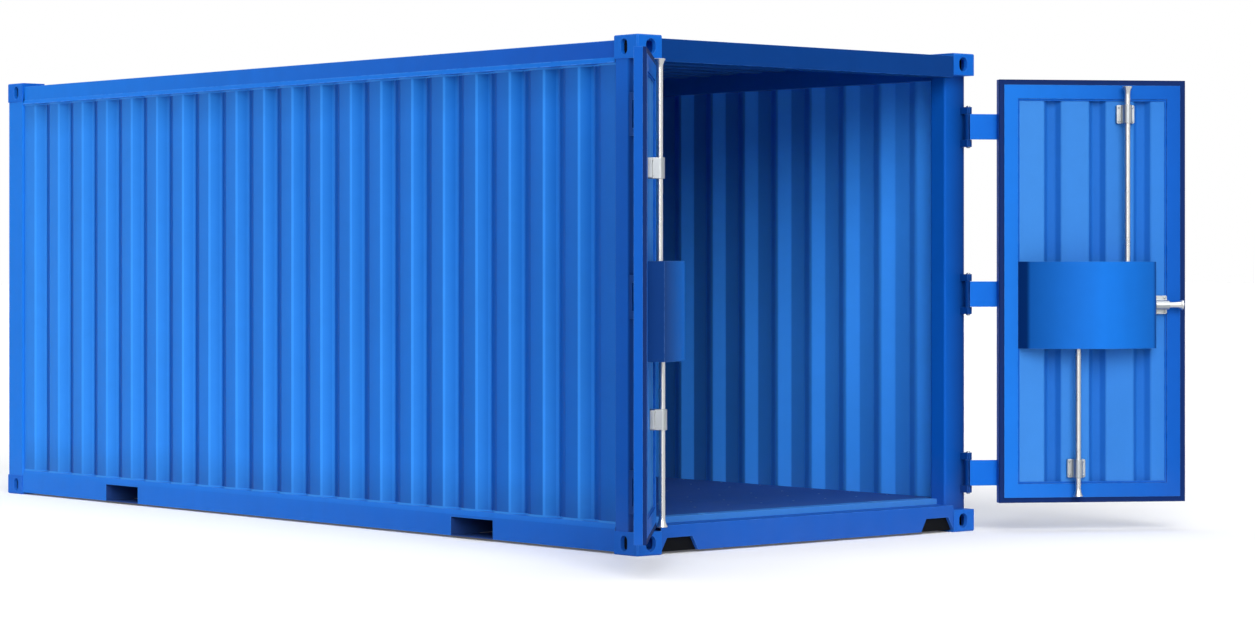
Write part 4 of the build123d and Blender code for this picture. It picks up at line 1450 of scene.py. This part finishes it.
    def strap_bolts(self) -> None:
        """Bolt each hinge strap to the frame with four hexagon heads."""
        frame_low, frame_high = self.closed_box("door_frame")
        face = frame_high.x + self.strap_thickness
        inset = self.strap_bolt_inset
        places = []
        for low, high in island_boxes(self.node("door_hinges"), self.closed):
            near, far = (low.y, frame_high.y) if self.side == "right" else (high.y, frame_low.y)
            ahead = math.copysign(inset, far - near)
            rows = (near + ahead, far - ahead), (low.z + inset, high.z - inset)
            places += itertools.product((face,), *rows)
        work = HEX_BOLT.at(self.opened @ seat(place, (1, 0, 0)) for place in places)
        self.add(work, self.node("strap_bolts"), self.body, self.finishes.strap_coat)

    def bolt(self, node: str) -> None:
        """Replace a bolt by a turned one with a trumpet head.

        Args:
            node: Name of the bolt's CAD node.
        """
        joint = next(joint for joint in frame["joints"] if joint["child"] == node)
        ahead = -Vector(joint["axis"]).normalized()
        reach = [vertex.co.dot(ahead) for vertex in frame["nodes"][node].data.vertices]
        low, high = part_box(node)
        middle = (low + high) / 2
        tip = middle + ahead * (max(reach) - middle.dot(ahead))
        work = self.bolt_shape.shape(max(reach) - min(reach))
        bmesh.ops.transform(work, matrix=seat(tip, ahead), verts=work.verts)
        piece = self.add(work, node + "_piece", body_of_node(node), self.finishes.rod_steel)
        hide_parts(node)


# Stage


@dataclass
class Studio:
    """Floor, light and camera."""

    image_width: float = 1255.0
    image_height: float = 620.0
    focal_pixels: float = 3291.0
    horizon_row: float = 265.0
    azimuth: float = math.radians(48.95)
    eye: tuple[float, float, float] = (15.284, -11.956, 1.4445)
    sensor: float = 36.0
    view_range: float = 500.0
    floor_size: float = 400.0
    floor_tone: float = 0.93
    floor_glow: float = 0.10
    sun_strength: float = 2.75
    sun_direction: tuple[float, float, float] = (0.74, -0.48, 0.47)
    sun_spread: float = math.radians(45.0)
    sun_distance: float = 20.0
    top_strength: float = 1.45
    fill_power: float = 120.0
    fill_size: float = 4.0
    fill_place: tuple[float, float, float] = (-7.0, -8.5, 4.0)
    fill_target: tuple[float, float, float] = (-2.6, -1.2, 1.4)
    ambient: float = 0.16
    ambient_colour: tuple[float, float, float, float] = (0.93, 0.96, 1.0, 1.0)

    def build(self) -> None:
        """Set up the whole stage."""
        scene = bpy.context.scene
        scene.view_settings.view_transform = "Standard"
        self.add_floor()
        self.add_world(scene)
        self.add_sun("key_light", Vector(self.sun_direction), self.sun_strength)
        self.add_sun("top_light", Vector((0.0, 0.0, 1.0)), self.top_strength)
        self.add_fill()
        self.add_camera(scene)

    def add_floor(self) -> None:
        """Lay a pale floor that keeps the shadow of the container."""
        work = bmesh.new()
        bmesh.ops.create_grid(work, x_segments=1, y_segments=1, size=self.floor_size / 2)
        mesh = bpy.data.meshes.new("studio_floor")
        work.to_mesh(mesh)
        work.free()
        floor = mesh_object("studio_floor", mesh)
        material, tree, shader = new_material("studio_floor")
        shader.inputs["Base Color"].default_value = (*[self.floor_tone] * 3, 1.0)
        shader.inputs["Roughness"].default_value = 1.0
        shader.inputs["Specular IOR Level"].default_value = 0.0
        shader.inputs["Emission Color"].default_value = (1.0, 1.0, 1.0, 1.0)
        seen = tree.add("ShaderNodeLightPath").outputs["Is Camera Ray"]
        tree.link(tree.math("MULTIPLY", seen, self.floor_glow), shader.inputs["Emission Strength"])
        mesh.materials.append(material)

    def add_world(self, scene: Scene) -> None:
        """Give the camera and reflections white surroundings, and the rest a softer ambient light.

        Args:
            scene: Scene to light.
        """
        world = bpy.data.worlds.new("studio")
        scene.world = world
        world.use_nodes = True
        tree = Tree(world.node_tree)
        shown = world.node_tree.nodes["Background"]
        shown.inputs["Color"].default_value = (1.0, 1.0, 1.0, 1.0)
        soft = tree.add("ShaderNodeBackground", {"Color": self.ambient_colour, "Strength": self.ambient})
        path = tree.add("ShaderNodeLightPath")
        seen = tree.math("MAXIMUM", path.outputs["Is Camera Ray"], path.outputs["Is Glossy Ray"])
        seen = tree.math("MAXIMUM", seen, path.outputs["Is Transmission Ray"])
        mix = tree.add("ShaderNodeMixShader", {0: seen, 1: soft.outputs[0], 2: shown.outputs[0]})
        tree.link(mix.outputs[0], world.node_tree.nodes["World Output"].inputs["Surface"])

    def add_sun(self, name: str, direction: Vector, strength: float) -> None:
        """Light the scene broadly and softly from a direction.

        Args:
            name: Name of the light.
            direction: Direction towards the light.
            strength: Light on a square metre that faces it.
        """
        lamp = bpy.data.lights.new(name, "SUN")
        lamp.energy = strength
        lamp.angle = self.sun_spread
        self.hang(lamp, direction * self.sun_distance, direction)

    def add_fill(self) -> None:
        """Lift the far end of the left wall with a panel light."""
        lamp = bpy.data.lights.new("fill_light", "AREA")
        lamp.energy = self.fill_power
        lamp.size = self.fill_size
        place = Vector(self.fill_place)
        self.hang(lamp, place, place - Vector(self.fill_target))

    @staticmethod
    def hang(lamp: Light, place: Vector, back: Vector) -> None:
        """Put a lamp in the scene.

        Args:
            lamp: The lamp.
            place: Where it hangs.
            back: Direction from what it lights towards it.
        """
        light = bpy.data.objects.new(lamp.name, lamp)
        light.rotation_euler = back.to_track_quat("Z", "Y").to_euler()
        light.location = place
        bpy.context.scene.collection.objects.link(light)

    def add_camera(self, scene: Scene) -> None:
        """Set a level camera at the drawing's viewing angle.

        Args:
            scene: Scene that gets the camera.
        """
        data = bpy.data.cameras.new("camera")
        data.sensor_fit = "HORIZONTAL"
        data.sensor_width = self.sensor
        data.lens = self.sensor * self.focal_pixels / self.image_width
        data.shift_y = -(self.image_height / 2 - self.horizon_row) / self.image_width
        data.clip_end = self.view_range
        camera = bpy.data.objects.new("camera", data)
        camera.location = self.eye
        camera.rotation_euler = (math.pi / 2, 0.0, self.azimuth)
        scene.collection.objects.link(camera)
        scene.camera = camera


def main() -> None:
    """Build the finishes, the sub-assemblies and the stage in order."""
    logging.basicConfig(level=logging.INFO, format="%(name)s %(message)s")
    effects = Effects(PaintWeather().build(), EdgeRubAndHighlight().build(), RoadDust().build(), WallRailShade().build())
    finishes = Finishes(effects)
    Shell(finishes).build()
    Skeleton(finishes).build()
    Base(finishes).build()
    # The left leaf's lock cover gets more painted shade at its free side
    Leaf(finishes, "left", ("left_top_rod", "left_bottom_rod"), free_shade=0.85).build()
    Leaf(finishes, "right", ("right_top_rod", "right_bottom_rod", "right_side_bolt")).build()
    Studio().build()


if __name__ == "__main__":
    main()
